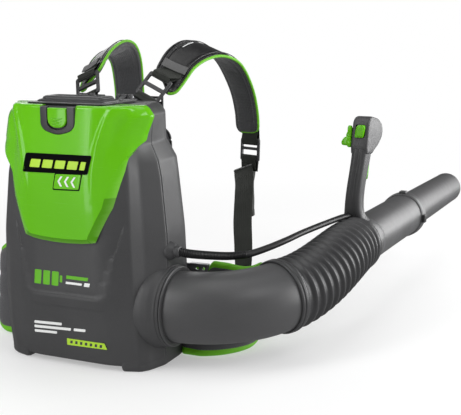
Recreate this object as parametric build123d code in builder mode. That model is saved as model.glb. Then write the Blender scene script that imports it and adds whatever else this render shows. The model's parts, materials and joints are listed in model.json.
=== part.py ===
from build123d import *
import math
import os

# Backpack leaf blower, millimetres. Origin on the floor under the middle of the
# housing, +X to the wearer's right (tube side), +Y the way the air is blown, +Z up.
# The wearer faces +Y. The housing's front is its -Y side and its rear, at +Y,
# lies against the harness.

os.makedirs("parts", exist_ok=True)

# ---- housing -------------------------------------------------------------
body_bottom, body_top = 8.0, 456.0
wall = 3.0
seam_y = -12.0
side_y = 58.0  # where the sides start to taper towards the rear
rear_y = 90.0
cover_proud = 7.0
cover_gap = 0.3
opening_depth = 24.0  # cut through the top wall

# ---- air path ------------------------------------------------------------
outlet_y, outlet_z = 5.0, 105.0
fan_x, fan_z = -20.0, 157.0
intake_r = 66.0
fan_eye_r = 58.0
shaft_r = 6.0
socket_x = 120.0
socket_gap = 0.2
tube_x, tube_z = 367.0, 160.0
tube_y0, tube_y1 = 385.0, 745.0
tube_r, tube_bore = 46.5, 42.5

# ---- battery bay ---------------------------------------------------------
bay_y = -20.0
bay_w, bay_d = 128.0, 104.0
bay_gap = 0.2

# ---- harness frame -------------------------------------------------------
plate_y0, plate_y1 = 102.0, 108.0


# ==== shared helpers ======================================================
def at_x(x):
    """Plane facing +X; sketch coordinates are (y, z)."""
    return Plane.YZ.offset(x)


def at_y(y):
    """Plane facing -Y; sketch coordinates are (x, z), negative extrusion goes to +Y."""
    return Plane.XZ.offset(-y)


def at_z(z):
    """Plane facing +Z; sketch coordinates are (x, y)."""
    return Plane.XY.offset(z)


def save(piece, name):
    piece.part.label = name
    export_step(piece.part, "parts/" + name + ".step")


def revolved_part(name, plane, axis, profile):
    """Save the solid of revolution of a closed (along axis, radius) profile."""
    with BuildPart() as turned:
        with BuildSketch(plane):
            with BuildLine():
                Polyline(*profile, close=True)
            make_face()
        revolve(axis=axis)
    save(turned, name)


def mirrored(vector, side):
    """The vector itself for side 1, its mirror image in x for side -1."""
    vector = Vector(vector)
    return Vector(side * vector.X, vector.Y, vector.Z)


# ==== housing outline =====================================================
# Outline at each height: plateau half width and y, then for the right and the
# left the front corner and corner chamfer as (x, y), and x at seam, side, rear.
LEVELS = [
    # z, plateau x, y, right: front, chamfer, seam, side, rear, left: the same
    (8, 80, -80, (130, -64), (140, -50), 149, 146, 138,
     (-126, -66), (-145, -54), -155, -150, -140),
    (60, 78, -92, (128, -70), (138, -50), 154, 152, 142,
     (-130, -74), (-150, -57), -160, -156, -144),
    (135, 74, -101, (123, -74), (134, -49), 158, 156, 144,
     (-129, -78), (-152, -58), -163, -158, -146),
    (233, 73, -97, (118, -74), (131, -49), 157, 151, 140,
     (-124, -77), (-150, -58), -160, -153, -142),
    (335, 73, -100, (114, -69), (123, -46), 147, 141, 127,
     (-118, -73), (-140, -56), -150, -143, -129),
    (360, 73, -100, (112, -67), (120, -45), 142, 138, 123,
     (-115, -71), (-134, -55), -145, -140, -125),
    (392, 73, -98, (110, -64), (120, -45), 128, 118, 102,
     (-111, -68), (-126, -50), -131, -120, -104),
    (440, 74, -94, (112, -64), (130, -42), 133, 117, 100,
     (-112, -68), (-130, -46), -135, -119, -102),
    (body_top, 70, -92, (106, -66), (120, -44), 124, 104, 90,
     (-106, -68), (-120, -46), -126, -106, -92),
]


def outline(level):
    """Counter-clockwise (x, y) points of one level."""
    (_, plateau_x, plateau_y,
     front_right, chamfer_right, seam_right, side_right, rear_right,
     front_left, chamfer_left, seam_left, side_left, rear_left) = level
    return [
        (plateau_x, plateau_y), front_right, chamfer_right,
        (seam_right, seam_y), (side_right, side_y), (rear_right, rear_y),
        (rear_left, rear_y), (side_left, side_y), (seam_left, seam_y),
        chamfer_left, front_left, (-plateau_x, plateau_y),
    ]


def shifted(points, distance):
    """Move every side of a counter-clockwise outline outwards by distance."""
    count = len(points)
    result = []
    for i in range(count):
        (x0, y0), (x1, y1), (x2, y2) = points[i - 1], points[i], points[(i + 1) % count]
        # outward normals of the sides before and after the corner
        angle_in = math.atan2(y1 - y0, x1 - x0) - math.pi / 2
        angle_out = math.atan2(y2 - y1, x2 - x1) - math.pi / 2
        in_x, in_y = math.cos(angle_in), math.sin(angle_in)
        out_x, out_y = math.cos(angle_out), math.sin(angle_out)
        det = in_x * out_y - in_y * out_x
        reach_in = in_x * x1 + in_y * y1 + distance
        reach_out = out_x * x1 + out_y * y1 + distance
        if abs(det) < 1e-6:  # the two sides are in line
            result.append((x1 + in_x * distance, y1 + in_y * distance))
        else:
            result.append((
                (reach_in * out_y - in_y * reach_out) / det,
                (in_x * reach_out - reach_in * out_x) / det,
            ))
    return result


def level_faces(distance, bottom_z=body_bottom, top_z=body_top):
    """Faces of all levels shifted outwards, with the end heights as given."""
    heights = [bottom_z] + [level[0] for level in LEVELS[1:-1]] + [top_z]
    faces = []
    for z, level in zip(heights, LEVELS):
        with BuildSketch(at_z(z)) as section:
            with BuildLine():
                Polyline(*shifted(outline(level), distance), close=True)
            make_face()
        faces.append(section.sketch.faces()[0])
    return faces


def latch_outline(gap, tip_z, top_z):
    """Pointed (x, z) outline around the latch, widened by gap on each side."""
    outer_x, inner_x = 34 + gap, 26 + gap
    return [
        (-outer_x, top_z), (-outer_x, 424), (-inner_x, 415), (0, tip_z),
        (inner_x, 415), (outer_x, 424), (outer_x, top_z),
    ]


# ==== housing shells ======================================================
# Cut for the outlet socket: (x, radius)
socket_cut = [(120.0, 0.0), (120.0, 78.0), (138.0, 78.0), (158.0, 72.5), (210.0, 72.5), (210.0, 0.0)]
outlet_axis = Axis((0, outlet_y, outlet_z), (1, 0, 0))
outlet_plane = Plane(origin=(0, outlet_y, outlet_z), x_dir=(1, 0, 0), z_dir=(0, -1, 0))

gland_spot = (4.0, 199.0)  # y, z
gland_r = 12.0
# (x, z) of the screws in the rear wall
screw_spots = [
    (118, 40), (-120, 40), (128, 250), (-130, 250),
    (100, 372), (-102, 372), (60, 432), (-60, 432),
]


def housing_shell(name, is_front):
    with BuildPart() as shell:
        loft(level_faces(0), ruled=True)
        loft(
            level_faces(-wall, body_bottom + wall, body_top - wall),
            ruled=True, mode=Mode.SUBTRACT,
        )
        split(bisect_by=at_y(seam_y), keep=Keep.TOP if is_front else Keep.BOTTOM)
        # battery opening in the top
        with BuildSketch(at_z(body_top - opening_depth / 2)):
            with Locations((0, bay_y)):
                Rectangle(bay_w + 2 * bay_gap, bay_d + 2 * bay_gap)
        extrude(amount=opening_depth, mode=Mode.SUBTRACT)
        # outlet opening
        with BuildSketch(outlet_plane):
            with BuildLine():
                Polyline(*[(x, r + socket_gap if r else 0.0) for x, r in socket_cut], close=True)
            make_face()
        revolve(axis=outlet_axis, mode=Mode.SUBTRACT)
        if is_front:
            # opening behind the latch
            with BuildSketch(at_y(-80)):
                with BuildLine():
                    Polyline(*latch_outline(0.2, 407.8, 470), close=True)
                make_face()
            extrude(amount=40, mode=Mode.SUBTRACT)
        # cable gland hole
        with BuildSketch(at_x(120)):
            with Locations(gland_spot):
                Circle(gland_r + 0.2)
        extrude(amount=60, mode=Mode.SUBTRACT)
        if not is_front:
            # air intake and screw holes in the rear wall
            with BuildSketch(at_y(80)):
                with Locations((fan_x, fan_z)):
                    Circle(intake_r)
                with Locations(*screw_spots):
                    Circle(2.1)
            extrude(amount=-20, mode=Mode.SUBTRACT)
    save(shell, name)


housing_shell("front_shell", True)
housing_shell("rear_shell", False)

with BuildPart() as housing_screws:
    # heads with a small hole, then shanks
    with BuildSketch(at_y(rear_y)):
        with Locations(*screw_spots):
            Circle(4.2)
            Circle(1.2, mode=Mode.SUBTRACT)
    extrude(amount=-2.6)
    with BuildSketch(at_y(76)):
        with Locations(*screw_spots):
            Circle(2.0)
    extrude(amount=-15)
save(housing_screws, "housing_screws")

# ==== upper front cover ===================================================
# (x, z) outline of the cover seen from the front
cover_outline = [
    (0, 222), (66, 228), (98, 289), (115, 350), (119, 371), (127, 389), (133, 398),
    (160, 420), (160, 470), (-160, 470), (-160, 410), (-150, 400), (-135, 385),
    (-122, 340), (-110, 296), (-80, 232),
]
with BuildPart() as front_cover:
    loft(level_faces(cover_proud, body_bottom, body_top + 2), ruled=True)
    loft(
        level_faces(cover_gap, body_bottom, body_top + cover_gap),
        ruled=True, mode=Mode.SUBTRACT,
    )
    with BuildSketch(at_y(-34)):
        with BuildLine():
            Polyline(*cover_outline, close=True)
        make_face()
    extrude(amount=120, mode=Mode.INTERSECT)
    # lid recess in the top and latch recess in the face
    with BuildSketch(at_z(body_top - 2)):
        with Locations((0, bay_y)):
            Rectangle(156, 132)
    extrude(amount=20, mode=Mode.SUBTRACT)
    with BuildSketch(at_y(-80)):
        with BuildLine():
            Polyline(*latch_outline(0.3, 407.6, 470), close=True)
        make_face()
    extrude(amount=60, mode=Mode.SUBTRACT)
save(front_cover, "front_cover")

with BuildPart() as latch_bezel:
    with BuildSketch(at_y(-95)):
        with BuildLine():
            Polyline(*latch_outline(0, 408, body_top), close=True)
        make_face()
        with Locations((0, 445)):
            Rectangle(42, 52, mode=Mode.SUBTRACT)
    extrude(amount=8)
save(latch_bezel, "latch_bezel")

# Latch tab on a pin along X near its top, with three finger ribs
latch_pivot = (-98.5, 449.0)  # y, z
latch_pin_r = 1.5
latch_w = 38.0
# (y, z) section of the tab
latch_section = [
    (-96.0, 454), (-101.5, 454), (-104.5, 440), (-104.5, 424),
    (-101.0, 420.5), (-97, 422), (-96.5, 436),
]
rib_z, rib_pitch = 426, 6
with BuildPart() as lid_latch:
    with BuildSketch(at_x(-latch_w / 2)):
        with BuildLine():
            Polyline(*latch_section, close=True)
        make_face()
        with Locations(latch_pivot):
            Circle(latch_pin_r + 0.05, mode=Mode.SUBTRACT)
    extrude(amount=latch_w)
    for n in range(3):
        with BuildSketch(at_z(rib_z + rib_pitch * n)):
            with Locations((0, -104.9)):
                Rectangle(30, 2.0)
        extrude(amount=2.2)
save(lid_latch, "lid_latch")

# ==== battery bay =========================================================
bay_z = 284.0
bay_h = 171.0
bay_wall, bay_floor = 2.5, 3.0
terminal_z = bay_z + bay_floor + 0.1
terminal_h = 8.0
pack_z, pack_h = 296.0, 146.0

with BuildPart() as battery_bay:
    with BuildSketch(at_z(bay_z)):
        with Locations((0, bay_y)):
            Rectangle(bay_w, bay_d)
    extrude(amount=bay_h)
    with BuildSketch(at_z(bay_z + bay_floor)):
        with Locations((0, bay_y)):
            Rectangle(bay_w - 2 * bay_wall, bay_d - 2 * bay_wall)
    extrude(amount=180, mode=Mode.SUBTRACT)
save(battery_bay, "battery_bay")

with BuildPart() as terminal_block:
    with BuildSketch(at_z(terminal_z)):
        with Locations((0, bay_y)):
            Rectangle(54, 26)
    extrude(amount=terminal_h)
    # four contact blades
    with BuildSketch(at_z(terminal_z + terminal_h)):
        with Locations((0, bay_y)):
            with GridLocations(12, 1, 4, 1):
                Rectangle(2, 16)
    extrude(amount=9)
save(terminal_block, "terminal_block")

with BuildPart() as battery_pack:
    with BuildSketch(at_z(pack_z)):
        with Locations((0, bay_y)):
            RectangleRounded(118, 94, 8)
    extrude(amount=pack_h)
    # terminal pocket below, recess in the top
    with BuildSketch(at_z(pack_z)):
        with Locations((0, bay_y)):
            Rectangle(60, 30)
    extrude(amount=14, mode=Mode.SUBTRACT)
    with BuildSketch(at_z(436)):
        with Locations((0, bay_y)):
            RectangleRounded(70, 26, 6)
    extrude(amount=10, mode=Mode.SUBTRACT)
save(battery_pack, "battery_pack")

# ==== battery lid and hinge ===============================================
lid_z, lid_step_z = 458.6, 466.0
hinge_y, hinge_z = 50.0, 463.5
knuckle_r = 5.0
hinge_pin_r = 2.0

with BuildPart() as lid_gasket:
    with BuildSketch(at_z(body_top)):
        with Locations((0, bay_y)):
            RectangleRounded(138, 114, 6)
            RectangleRounded(129, 105, 4, mode=Mode.SUBTRACT)
    extrude(amount=2.4)
save(lid_gasket, "lid_gasket")

with BuildPart() as battery_lid:
    # base plate, raised top with a recess
    with BuildSketch(at_z(lid_z)):
        with BuildLine():
            Polyline((-77, -79), (-72, -84), (72, -84), (77, -79), (73, 40), (-73, 40), close=True)
        make_face()
    extrude(amount=lid_step_z - lid_z)
    with BuildSketch(at_z(lid_step_z)):
        with BuildLine():
            Polyline((-66, -70), (66, -70), (63, 34), (-63, 34), close=True)
        make_face()
    extrude(amount=7)
    with BuildSketch(at_z(469)):
        with Locations((0, -18)):
            Rectangle(84, 64)
    extrude(amount=10, mode=Mode.SUBTRACT)
    # underside pocket keeps the lid hollow
    with BuildSketch(at_z(lid_z)):
        with Locations((0, bay_y)):
            Rectangle(120, 96)
    extrude(amount=4.4, mode=Mode.SUBTRACT)
    # hinge knuckles
    for x in (-46, 34):
        with BuildSketch(at_x(x)):
            with Locations((hinge_y, hinge_z)):
                Circle(knuckle_r)
            with BuildLine():
                Polyline((39, 459), (39, 466), (hinge_y, 468.4), (hinge_y, lid_z), close=True)
            make_face()
            with Locations((hinge_y, hinge_z)):
                Circle(hinge_pin_r + 0.05, mode=Mode.SUBTRACT)
        extrude(amount=12)
save(battery_lid, "battery_lid")

bracket_w = 8
bracket_xs = (-52, -28, 28, 52)
with BuildPart() as hinge_bracket:
    with BuildSketch(at_z(body_top)):
        for x in bracket_xs:
            with Locations((x, hinge_y + 1)):
                Rectangle(bracket_w, 14)
    extrude(amount=hinge_z - body_top)
    for x in bracket_xs:
        with BuildSketch(at_x(x - bracket_w / 2)):
            with Locations((hinge_y, hinge_z)):
                Circle(knuckle_r)
        extrude(amount=bracket_w)
        with BuildSketch(at_x(x - bracket_w / 2)):
            with Locations((hinge_y, hinge_z)):
                Circle(hinge_pin_r)
        extrude(amount=bracket_w, mode=Mode.SUBTRACT)
save(hinge_bracket, "hinge_bracket")

# Two lid hinge pins and the latch pin
latch_pin_length = 41.6
with BuildPart() as hinge_pins:
    for x in (-57, 23):
        with BuildSketch(at_x(x)):
            with Locations((hinge_y, hinge_z)):
                Circle(hinge_pin_r)
        extrude(amount=34)
    with BuildSketch(at_x(-latch_pin_length / 2)):
        with Locations(latch_pivot):
            Circle(latch_pin_r)
    extrude(amount=latch_pin_length)
save(hinge_pins, "hinge_pins")

# ==== fan =================================================================
fan_plane = Plane(origin=(fan_x, 0, fan_z), x_dir=(1, 0, 0), z_dir=(0, -1, 0))


def fan_section(y):
    """Plane on the fan axis at y; positive extrusion goes to -Y."""
    return fan_plane.offset(-y)


volute_r = 112.0
volute_rear_y = 65.0
volute_depth = 120.0
volute_wall = 3.5
duct_r, duct_bore = 60.0, 56.4

with BuildPart() as fan_housing:
    with BuildSketch(fan_section(volute_rear_y)):
        Circle(volute_r)
    extrude(amount=volute_depth)
    with BuildSketch(at_x(fan_x)):
        with Locations((outlet_y, outlet_z)):
            Circle(duct_r)
    extrude(amount=socket_x - 0.2 - fan_x)
    # hollow volute and duct
    with BuildSketch(fan_section(volute_rear_y - volute_wall)):
        Circle(volute_r - volute_wall)
    extrude(amount=volute_depth - 2 * volute_wall, mode=Mode.SUBTRACT)
    with BuildSketch(at_x(fan_x)):
        with Locations((outlet_y, outlet_z)):
            Circle(duct_bore)
    extrude(amount=150, mode=Mode.SUBTRACT)
    # air inlet in the rear face, shaft hole in the front face
    with BuildSketch(fan_section(70)):
        Circle(fan_eye_r)
    extrude(amount=20, mode=Mode.SUBTRACT)
    with BuildSketch(fan_section(-45)):
        Circle(16)
    extrude(amount=20, mode=Mode.SUBTRACT)
save(fan_housing, "fan_housing")

impeller_r = 98.0
impeller_front_y = -44.0
disc_t = 3.0
blade_depth = 78.0
blade_front_y = impeller_front_y + disc_t

with BuildPart() as impeller:
    # front disc and hub
    with BuildSketch(fan_section(impeller_front_y)):
        Circle(impeller_r)
    extrude(amount=-disc_t)
    with BuildSketch(fan_section(impeller_front_y)):
        Circle(15)
    extrude(amount=-70)
    # slanted blade outline, drawn under polar locations of zero radius
    with BuildSketch(fan_section(blade_front_y)):
        with PolarLocations(0, 12):
            with BuildLine():
                Polyline((26, -1.2), (96, 22), (96, 24.6), (26, 1.6), close=True)
            make_face()
    extrude(amount=-blade_depth)
    # rear ring, then the shaft bore
    with BuildSketch(fan_section(blade_front_y + blade_depth)):
        Circle(impeller_r)
        Circle(60, mode=Mode.SUBTRACT)
    extrude(amount=-disc_t)
    with BuildSketch(fan_section(-60)):
        Circle(shaft_r)
    extrude(amount=-120, mode=Mode.SUBTRACT)
save(impeller, "impeller")

# ==== motor ===============================================================
can_y, can_length = -55.0, 39.0
can_r, can_wall = 38.0, 3.0
can_bore = can_r - can_wall
bearing_r = 13.0
core_y, core_length = -61.0, 26.0

with BuildPart() as motor_shaft:
    with BuildSketch(fan_section(-93.5)):
        Circle(shaft_r)
    extrude(amount=-121.5)
save(motor_shaft, "motor_shaft")

with BuildPart() as motor_can:
    with BuildSketch(fan_section(can_y)):
        Circle(can_r)
    extrude(amount=can_length)
    with BuildSketch(fan_section(can_y - can_wall)):
        Circle(can_bore)
    extrude(amount=can_length - 2 * can_wall, mode=Mode.SUBTRACT)
    with BuildSketch(fan_section(-50)):
        Circle(bearing_r)
    extrude(amount=60, mode=Mode.SUBTRACT)
    # ring of holes in the front end
    with BuildSketch(fan_section(-90.9)):
        with PolarLocations(25, 8):
            Circle(4)
    extrude(amount=6, mode=Mode.SUBTRACT)
save(motor_can, "motor_can")

with BuildPart() as motor_bearings:
    for y, thickness in ((-52, 5.9), (-91.1, 2.9)):
        with BuildSketch(fan_section(y)):
            Circle(bearing_r)
            Circle(shaft_r + 0.05, mode=Mode.SUBTRACT)
        extrude(amount=thickness)
save(motor_bearings, "motor_bearings")

with BuildPart() as motor_stator:
    with BuildSketch(fan_section(core_y)):
        Circle(can_bore)
        Circle(19, mode=Mode.SUBTRACT)
        with PolarLocations(26, 12):
            Rectangle(9, 4, mode=Mode.SUBTRACT)
    extrude(amount=core_length)
save(motor_stator, "motor_stator")

with BuildPart() as motor_rotor:
    with BuildSketch(fan_section(core_y)):
        Circle(18)
        Circle(shaft_r, mode=Mode.SUBTRACT)
    extrude(amount=core_length)
save(motor_rotor, "motor_rotor")

# Slotted disc in the rear intake
with BuildPart() as intake_grille:
    with BuildSketch(fan_section(89)):
        Circle(intake_r - 0.2)
        with GridLocations(1, 11, 1, 9):
            Rectangle(84, 6, mode=Mode.SUBTRACT)
    extrude(amount=-3)
save(intake_grille, "intake_grille")

# ==== electronics, left of the battery bay ================================
board_x, board_t = -92.0, 2.0
with BuildPart() as control_board:
    with BuildSketch(at_x(board_x)):
        with Locations((10, 330)):
            Rectangle(92, 84)
    extrude(amount=board_t)
    # three square and two round components
    with BuildSketch(at_x(board_x + board_t)):
        with Locations((-14, 350), (12, 352), (36, 350)):
            Rectangle(14, 14)
        with Locations((-14, 314), (14, 312)):
            Circle(8)
    extrude(amount=10)
save(control_board, "control_board")

fin_y, fin_pitch = -24, 10
with BuildPart() as heat_sink:
    with BuildSketch(at_z(292)):
        with Locations((-95, 10)):
            Rectangle(6, 84)
        for n in range(8):
            with Locations((-103, fin_y + fin_pitch * n)):
                Rectangle(12, 2.4)
    extrude(amount=76)
save(heat_sink, "heat_sink")

# ==== outlet socket: (x, radius) profiles =================================
revolved_part("outlet_socket", outlet_plane, outlet_axis, [
    (socket_x, 56.5), (socket_x, 78), (138, 78), (158, 72.4), (164, 70), (164, 60.5),
    (149, 60.5), (149, 56.5),
])
revolved_part("socket_ring", outlet_plane, outlet_axis, [
    (164.2, 63.08), (164.2, 69), (165.4, 70.4), (167, 70.4), (168, 69), (168, 63.08),
])
revolved_part("socket_seal", outlet_plane, outlet_axis, [
    (153.0, 59.05), (153.0, 60.45), (156.0, 60.45), (156.0, 59.05),
])

# ==== elbow ===============================================================
# The bend starts along +X and turns towards +Y, in a plane tilted about X.
elbow_r, elbow_bore = 63.0, 59.5
elbow_bend_r = 158.0
elbow_x0 = 168.0
elbow_sweep = 66.0
elbow_tilt = 5.0
elbow_tail = 20.0  # straight length after the bend

cos_tilt, sin_tilt = math.cos(math.radians(elbow_tilt)), math.sin(math.radians(elbow_tilt))
cos_sweep, sin_sweep = math.cos(math.radians(elbow_sweep)), math.sin(math.radians(elbow_sweep))
bend_normal = (0, -sin_tilt, cos_tilt)
bend_axis = Axis(
    (elbow_x0, outlet_y + elbow_bend_r * cos_tilt, outlet_z + elbow_bend_r * sin_tilt),
    bend_normal,
)
elbow_end = Vector(
    elbow_x0 + elbow_bend_r * sin_sweep,
    outlet_y + elbow_bend_r * (1 - cos_sweep) * cos_tilt,
    outlet_z + elbow_bend_r * (1 - cos_sweep) * sin_tilt,
)
elbow_dir = Vector(cos_sweep, sin_sweep * cos_tilt, sin_sweep * sin_tilt)

# (x, radius) of the spigot in the socket, with its seal groove
spigot_profile = [
    (149.2, 56.6), (149.2, 60.42), (152.8, 60.42), (152.8, 59.0), (156.2, 59.0), (156.2, 60.42),
    (164.15, 60.42), (164.15, 63), (elbow_x0, elbow_r), (elbow_x0, elbow_bore), (160, 56.6),
]
with BuildPart() as elbow_tube:
    with BuildSketch(outlet_plane):
        with BuildLine():
            Polyline(*spigot_profile, close=True)
        make_face()
    revolve(axis=outlet_axis)
    # bend
    with BuildSketch(
        Plane(origin=(elbow_x0, outlet_y, outlet_z), x_dir=(0, 1, 0), z_dir=(1, 0, 0))
    ):
        Circle(elbow_r)
        Circle(elbow_bore, mode=Mode.SUBTRACT)
    revolve(axis=bend_axis, revolution_arc=elbow_sweep)
    # straight tail
    with BuildSketch(Plane(origin=elbow_end, x_dir=bend_normal, z_dir=elbow_dir)):
        Circle(elbow_r)
        Circle(elbow_bore, mode=Mode.SUBTRACT)
    extrude(amount=elbow_tail)
save(elbow_tube, "elbow_tube")

with BuildPart() as hose_cuff:
    with BuildSketch(Plane(origin=elbow_end + elbow_dir * 4, x_dir=bend_normal, z_dir=elbow_dir)):
        Circle(67.5)
        Circle(elbow_r + 0.1, mode=Mode.SUBTRACT)
    extrude(amount=15.9)
    chamfer(hose_cuff.edges().filter_by(GeomType.CIRCLE).sort_by(Axis.Y)[0:1], 1.0)
save(hose_cuff, "hose_cuff")

# ==== bellows hose ========================================================
# Ribbed hose on a smooth centre line from the elbow to the control tube
hose_ribs = 14
hose_r0, hose_r1 = 66.0, 54.5  # crest radius at the elbow and at the tube
rib_depth = 5.5
hose_wall = 2.5
hose_start = elbow_end + elbow_dir * (elbow_tail + 0.2)
hose_end = Vector(tube_x, tube_y0 - 12.0, tube_z)
hose_end_dir = Vector(0, 1, 0)
hose_pull = (hose_end - hose_start).length * 1.05
start_tangent = elbow_dir * hose_pull
end_tangent = hose_end_dir * hose_pull


def hose_point(t):
    """Cubic Hermite centre line, t from 0 at the elbow to 1 at the tube."""
    return (
        hose_start * (2 * t**3 - 3 * t**2 + 1)
        + start_tangent * (t**3 - 2 * t**2 + t)
        + hose_end * (-2 * t**3 + 3 * t**2)
        + end_tangent * (t**3 - t**2)
    )


def hose_plane(t):
    """Plane across the hose, its x direction turned upwards."""
    if t == 0:
        along = elbow_dir
    elif t == 1:
        along = hose_end_dir
    else:
        along = (hose_point(min(t + 0.01, 1.0)) - hose_point(max(t - 0.01, 0.0))).normalized()
    upwards = (Vector(0, 0, 1) - along * along.Z).normalized()
    return Plane(origin=hose_point(t), x_dir=upwards, z_dir=along)


with BuildPart() as bellows_hose:
    # outside, then the same zigzag one wall further in
    for inset, loft_mode in ((0.0, Mode.ADD), (hose_wall, Mode.SUBTRACT)):
        for i in range(2 * hose_ribs + 1):
            t = i / (2 * hose_ribs)
            crest_r = hose_r0 + (hose_r1 - hose_r0) * t
            with BuildSketch(hose_plane(t)):
                Circle(crest_r - inset - (rib_depth if i % 2 == 0 else 0.0))
        loft(ruled=True, mode=loft_mode)
save(bellows_hose, "bellows_hose")

# ==== control tube and nozzle: (y, radius) profiles =======================
tube_axis = Axis((tube_x, 0, tube_z), (0, 1, 0))
tube_plane = Plane(origin=(tube_x, 0, tube_z), x_dir=(0, 1, 0), z_dir=(1, 0, 0))
nozzle_tip_y = 1170.0
nozzle_r0, nozzle_r1 = 40.7, 39.0
nozzle_tip_bore = 36.5

revolved_part("hose_clamp", tube_plane, tube_axis, [
    (373.2, 47.0), (373.2, 54.0), (375, 55.0), (383, 54.0), (384.8, 52.5), (384.8, 47.0),
])
revolved_part("control_tube", tube_plane, tube_axis, [
    (373.2, tube_bore), (373.2, 46.9), (tube_y0, 46.9), (tube_y0, 50), (424, 50), (428, tube_r),
    (tube_y1, tube_r), (tube_y1, tube_bore),
])
revolved_part("tube_lock_ring", tube_plane, tube_axis, [
    (722, tube_r + 0.1), (722, 49.5), (726, 50.5), (741, 50.5), (748, 48.6), (748, 42.6),
    (tube_y1 + 0.1, 42.6), (tube_y1 + 0.1, tube_r + 0.1),
])
revolved_part("nozzle", tube_plane, tube_axis, [
    (690, 38.5), (690, 42.42), (704, 42.42), (704, 41.0), (708, 41.0), (708, 42.42),
    (745, 42.42), (752, 42.4), (760, nozzle_r0), (nozzle_tip_y - 6, nozzle_r1 - 0.4),
    (nozzle_tip_y - 4, nozzle_r1), (nozzle_tip_y, nozzle_r1), (nozzle_tip_y, nozzle_tip_bore),
    (nozzle_tip_y - 40, nozzle_tip_bore), (760, 38.2),
])
revolved_part("nozzle_seal", tube_plane, tube_axis, [
    (704.2, 41.05), (704.2, 42.4), (707.8, 42.4), (707.8, 41.05),
])

# Two blocks outside the lock ring, above it and on its right
catch_y = 733
catch_reach = 50.7
with BuildPart() as nozzle_catch:
    with BuildSketch(at_z(tube_z + catch_reach)):
        with Locations((tube_x, catch_y)):
            RectangleRounded(16, 18, 3)
    extrude(amount=4.5)
    with BuildSketch(at_x(tube_x + catch_reach)):
        with Locations((catch_y, tube_z)):
            RectangleRounded(16, 16, 3)
    extrude(amount=5)
save(nozzle_catch, "nozzle_catch")

# ==== control handle ======================================================
# z, y of the centre, width in x, width in y
grip_stations = [
    (198.0, 404.5, 60.0, 36.0), (212.0, 402.0, 46.0, 37.0), (224.0, 399.0, 38.0, 39.0),
    (270.0, 398.0, 35.0, 41.0), (318.0, 405.0, 34.0, 42.0), (344.0, 412.0, 34.0, 46.0),
]
# (y, z) outlines of the head, its hollow, the grip's hollow and the trigger slot
head_profile = [
    (392, 338), (390, 352), (402, 402), (410, 410), (424, 412), (470, 404), (492, 392),
    (498, 380), (494, 364), (470, 350), (444, 342), (430, 338),
]
head_hollow = [
    (398, 346), (404, 398), (412, 405), (468, 398), (488, 387), (491, 378),
    (488, 368), (468, 356), (444, 348),
]
grip_hollow = [
    (390, 222), (410, 222), (411, 270), (418, 318), (424, 350), (402, 350), (392, 300), (387, 260),
]
trigger_slot = [(402, 262), (444, 262), (444, 350), (412, 350)]
# outline, width in x
handle_cuts = [(grip_hollow, 24), (trigger_slot, 19)]
head_w, head_hollow_w = 35, 28
trigger_pivot = (434, 336)  # y, z
lever_pivot = (420, 372)  # y, z
button_spot = (tube_x, 384)  # x, z
button_w, button_h, button_corner = 20, 24, 4
button_gap = 0.2


def grip_half(name, keep):
    with BuildPart() as grip:
        for z, y, width_x, width_y in grip_stations:
            with BuildSketch(at_z(z)):
                with Locations((tube_x, y)):
                    RectangleRounded(width_x, width_y, 13)
        loft()
        with BuildSketch(at_x(tube_x - head_w / 2)):
            with BuildLine():
                Polyline(*head_profile, close=True)
            make_face()
        extrude(amount=head_w)
        with BuildSketch(at_x(tube_x - head_hollow_w / 2)):
            with BuildLine():
                Polyline(*head_hollow, close=True)
            make_face()
        extrude(amount=head_hollow_w, mode=Mode.SUBTRACT)
        # saddle around the tube collar and the hose clamp: start y, radius, length
        for y, radius, length in ((380, 50.1, 60), (370, 55.3, 15.3)):
            with BuildSketch(Plane(origin=(tube_x, y, tube_z), x_dir=(1, 0, 0), z_dir=(0, 1, 0))):
                Circle(radius)
            extrude(amount=length, mode=Mode.SUBTRACT)
        for cut_outline, width in handle_cuts:
            with BuildSketch(at_x(tube_x - width / 2)):
                with BuildLine():
                    Polyline(*cut_outline, close=True)
                make_face()
            extrude(amount=width, mode=Mode.SUBTRACT)
        # button opening
        with BuildSketch(at_y(380)):
            with Locations(button_spot):
                RectangleRounded(
                    button_w + 2 * button_gap, button_h + 2 * button_gap,
                    button_corner + button_gap,
                )
        extrude(amount=-40, mode=Mode.SUBTRACT)
        # pivot holes
        with BuildSketch(at_x(tube_x - 13)):
            with Locations(trigger_pivot):
                Circle(2.0)
        extrude(amount=26, mode=Mode.SUBTRACT)
        with BuildSketch(at_x(tube_x - 30)):
            with Locations(lever_pivot):
                Circle(3.05)
        extrude(amount=20, mode=Mode.SUBTRACT)
        split(bisect_by=at_x(tube_x), keep=keep)
    save(grip, name)


grip_half("grip_left", Keep.BOTTOM)
grip_half("grip_right", Keep.TOP)

# (y, z) outline
trigger_outline = [
    (428, 343), (440, 343), (446, 332), (444, 306), (436, 282), (430, 272), (424, 272),
    (427, 286), (432, 306), (430, 322), (424, 334),
]
trigger_w = 17
with BuildPart() as trigger:
    with BuildSketch(at_x(tube_x - trigger_w / 2)):
        with BuildLine():
            Polyline(*trigger_outline, close=True)
        make_face()
        with Locations(trigger_pivot):
            Circle(2.05, mode=Mode.SUBTRACT)
    extrude(amount=trigger_w)
save(trigger, "trigger")

trigger_pin_length = 25
with BuildPart() as trigger_pin:
    with BuildSketch(at_x(tube_x - trigger_pin_length / 2)):
        with Locations(trigger_pivot):
            Circle(1.98)
    extrude(amount=trigger_pin_length)
save(trigger_pin, "trigger_pin")

switch_w = 12
with BuildPart() as trigger_switch:
    with BuildSketch(at_x(tube_x - switch_w / 2)):
        with Locations((399, 284)):
            Rectangle(9, 24)
    extrude(amount=switch_w)
save(trigger_switch, "trigger_switch")

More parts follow.
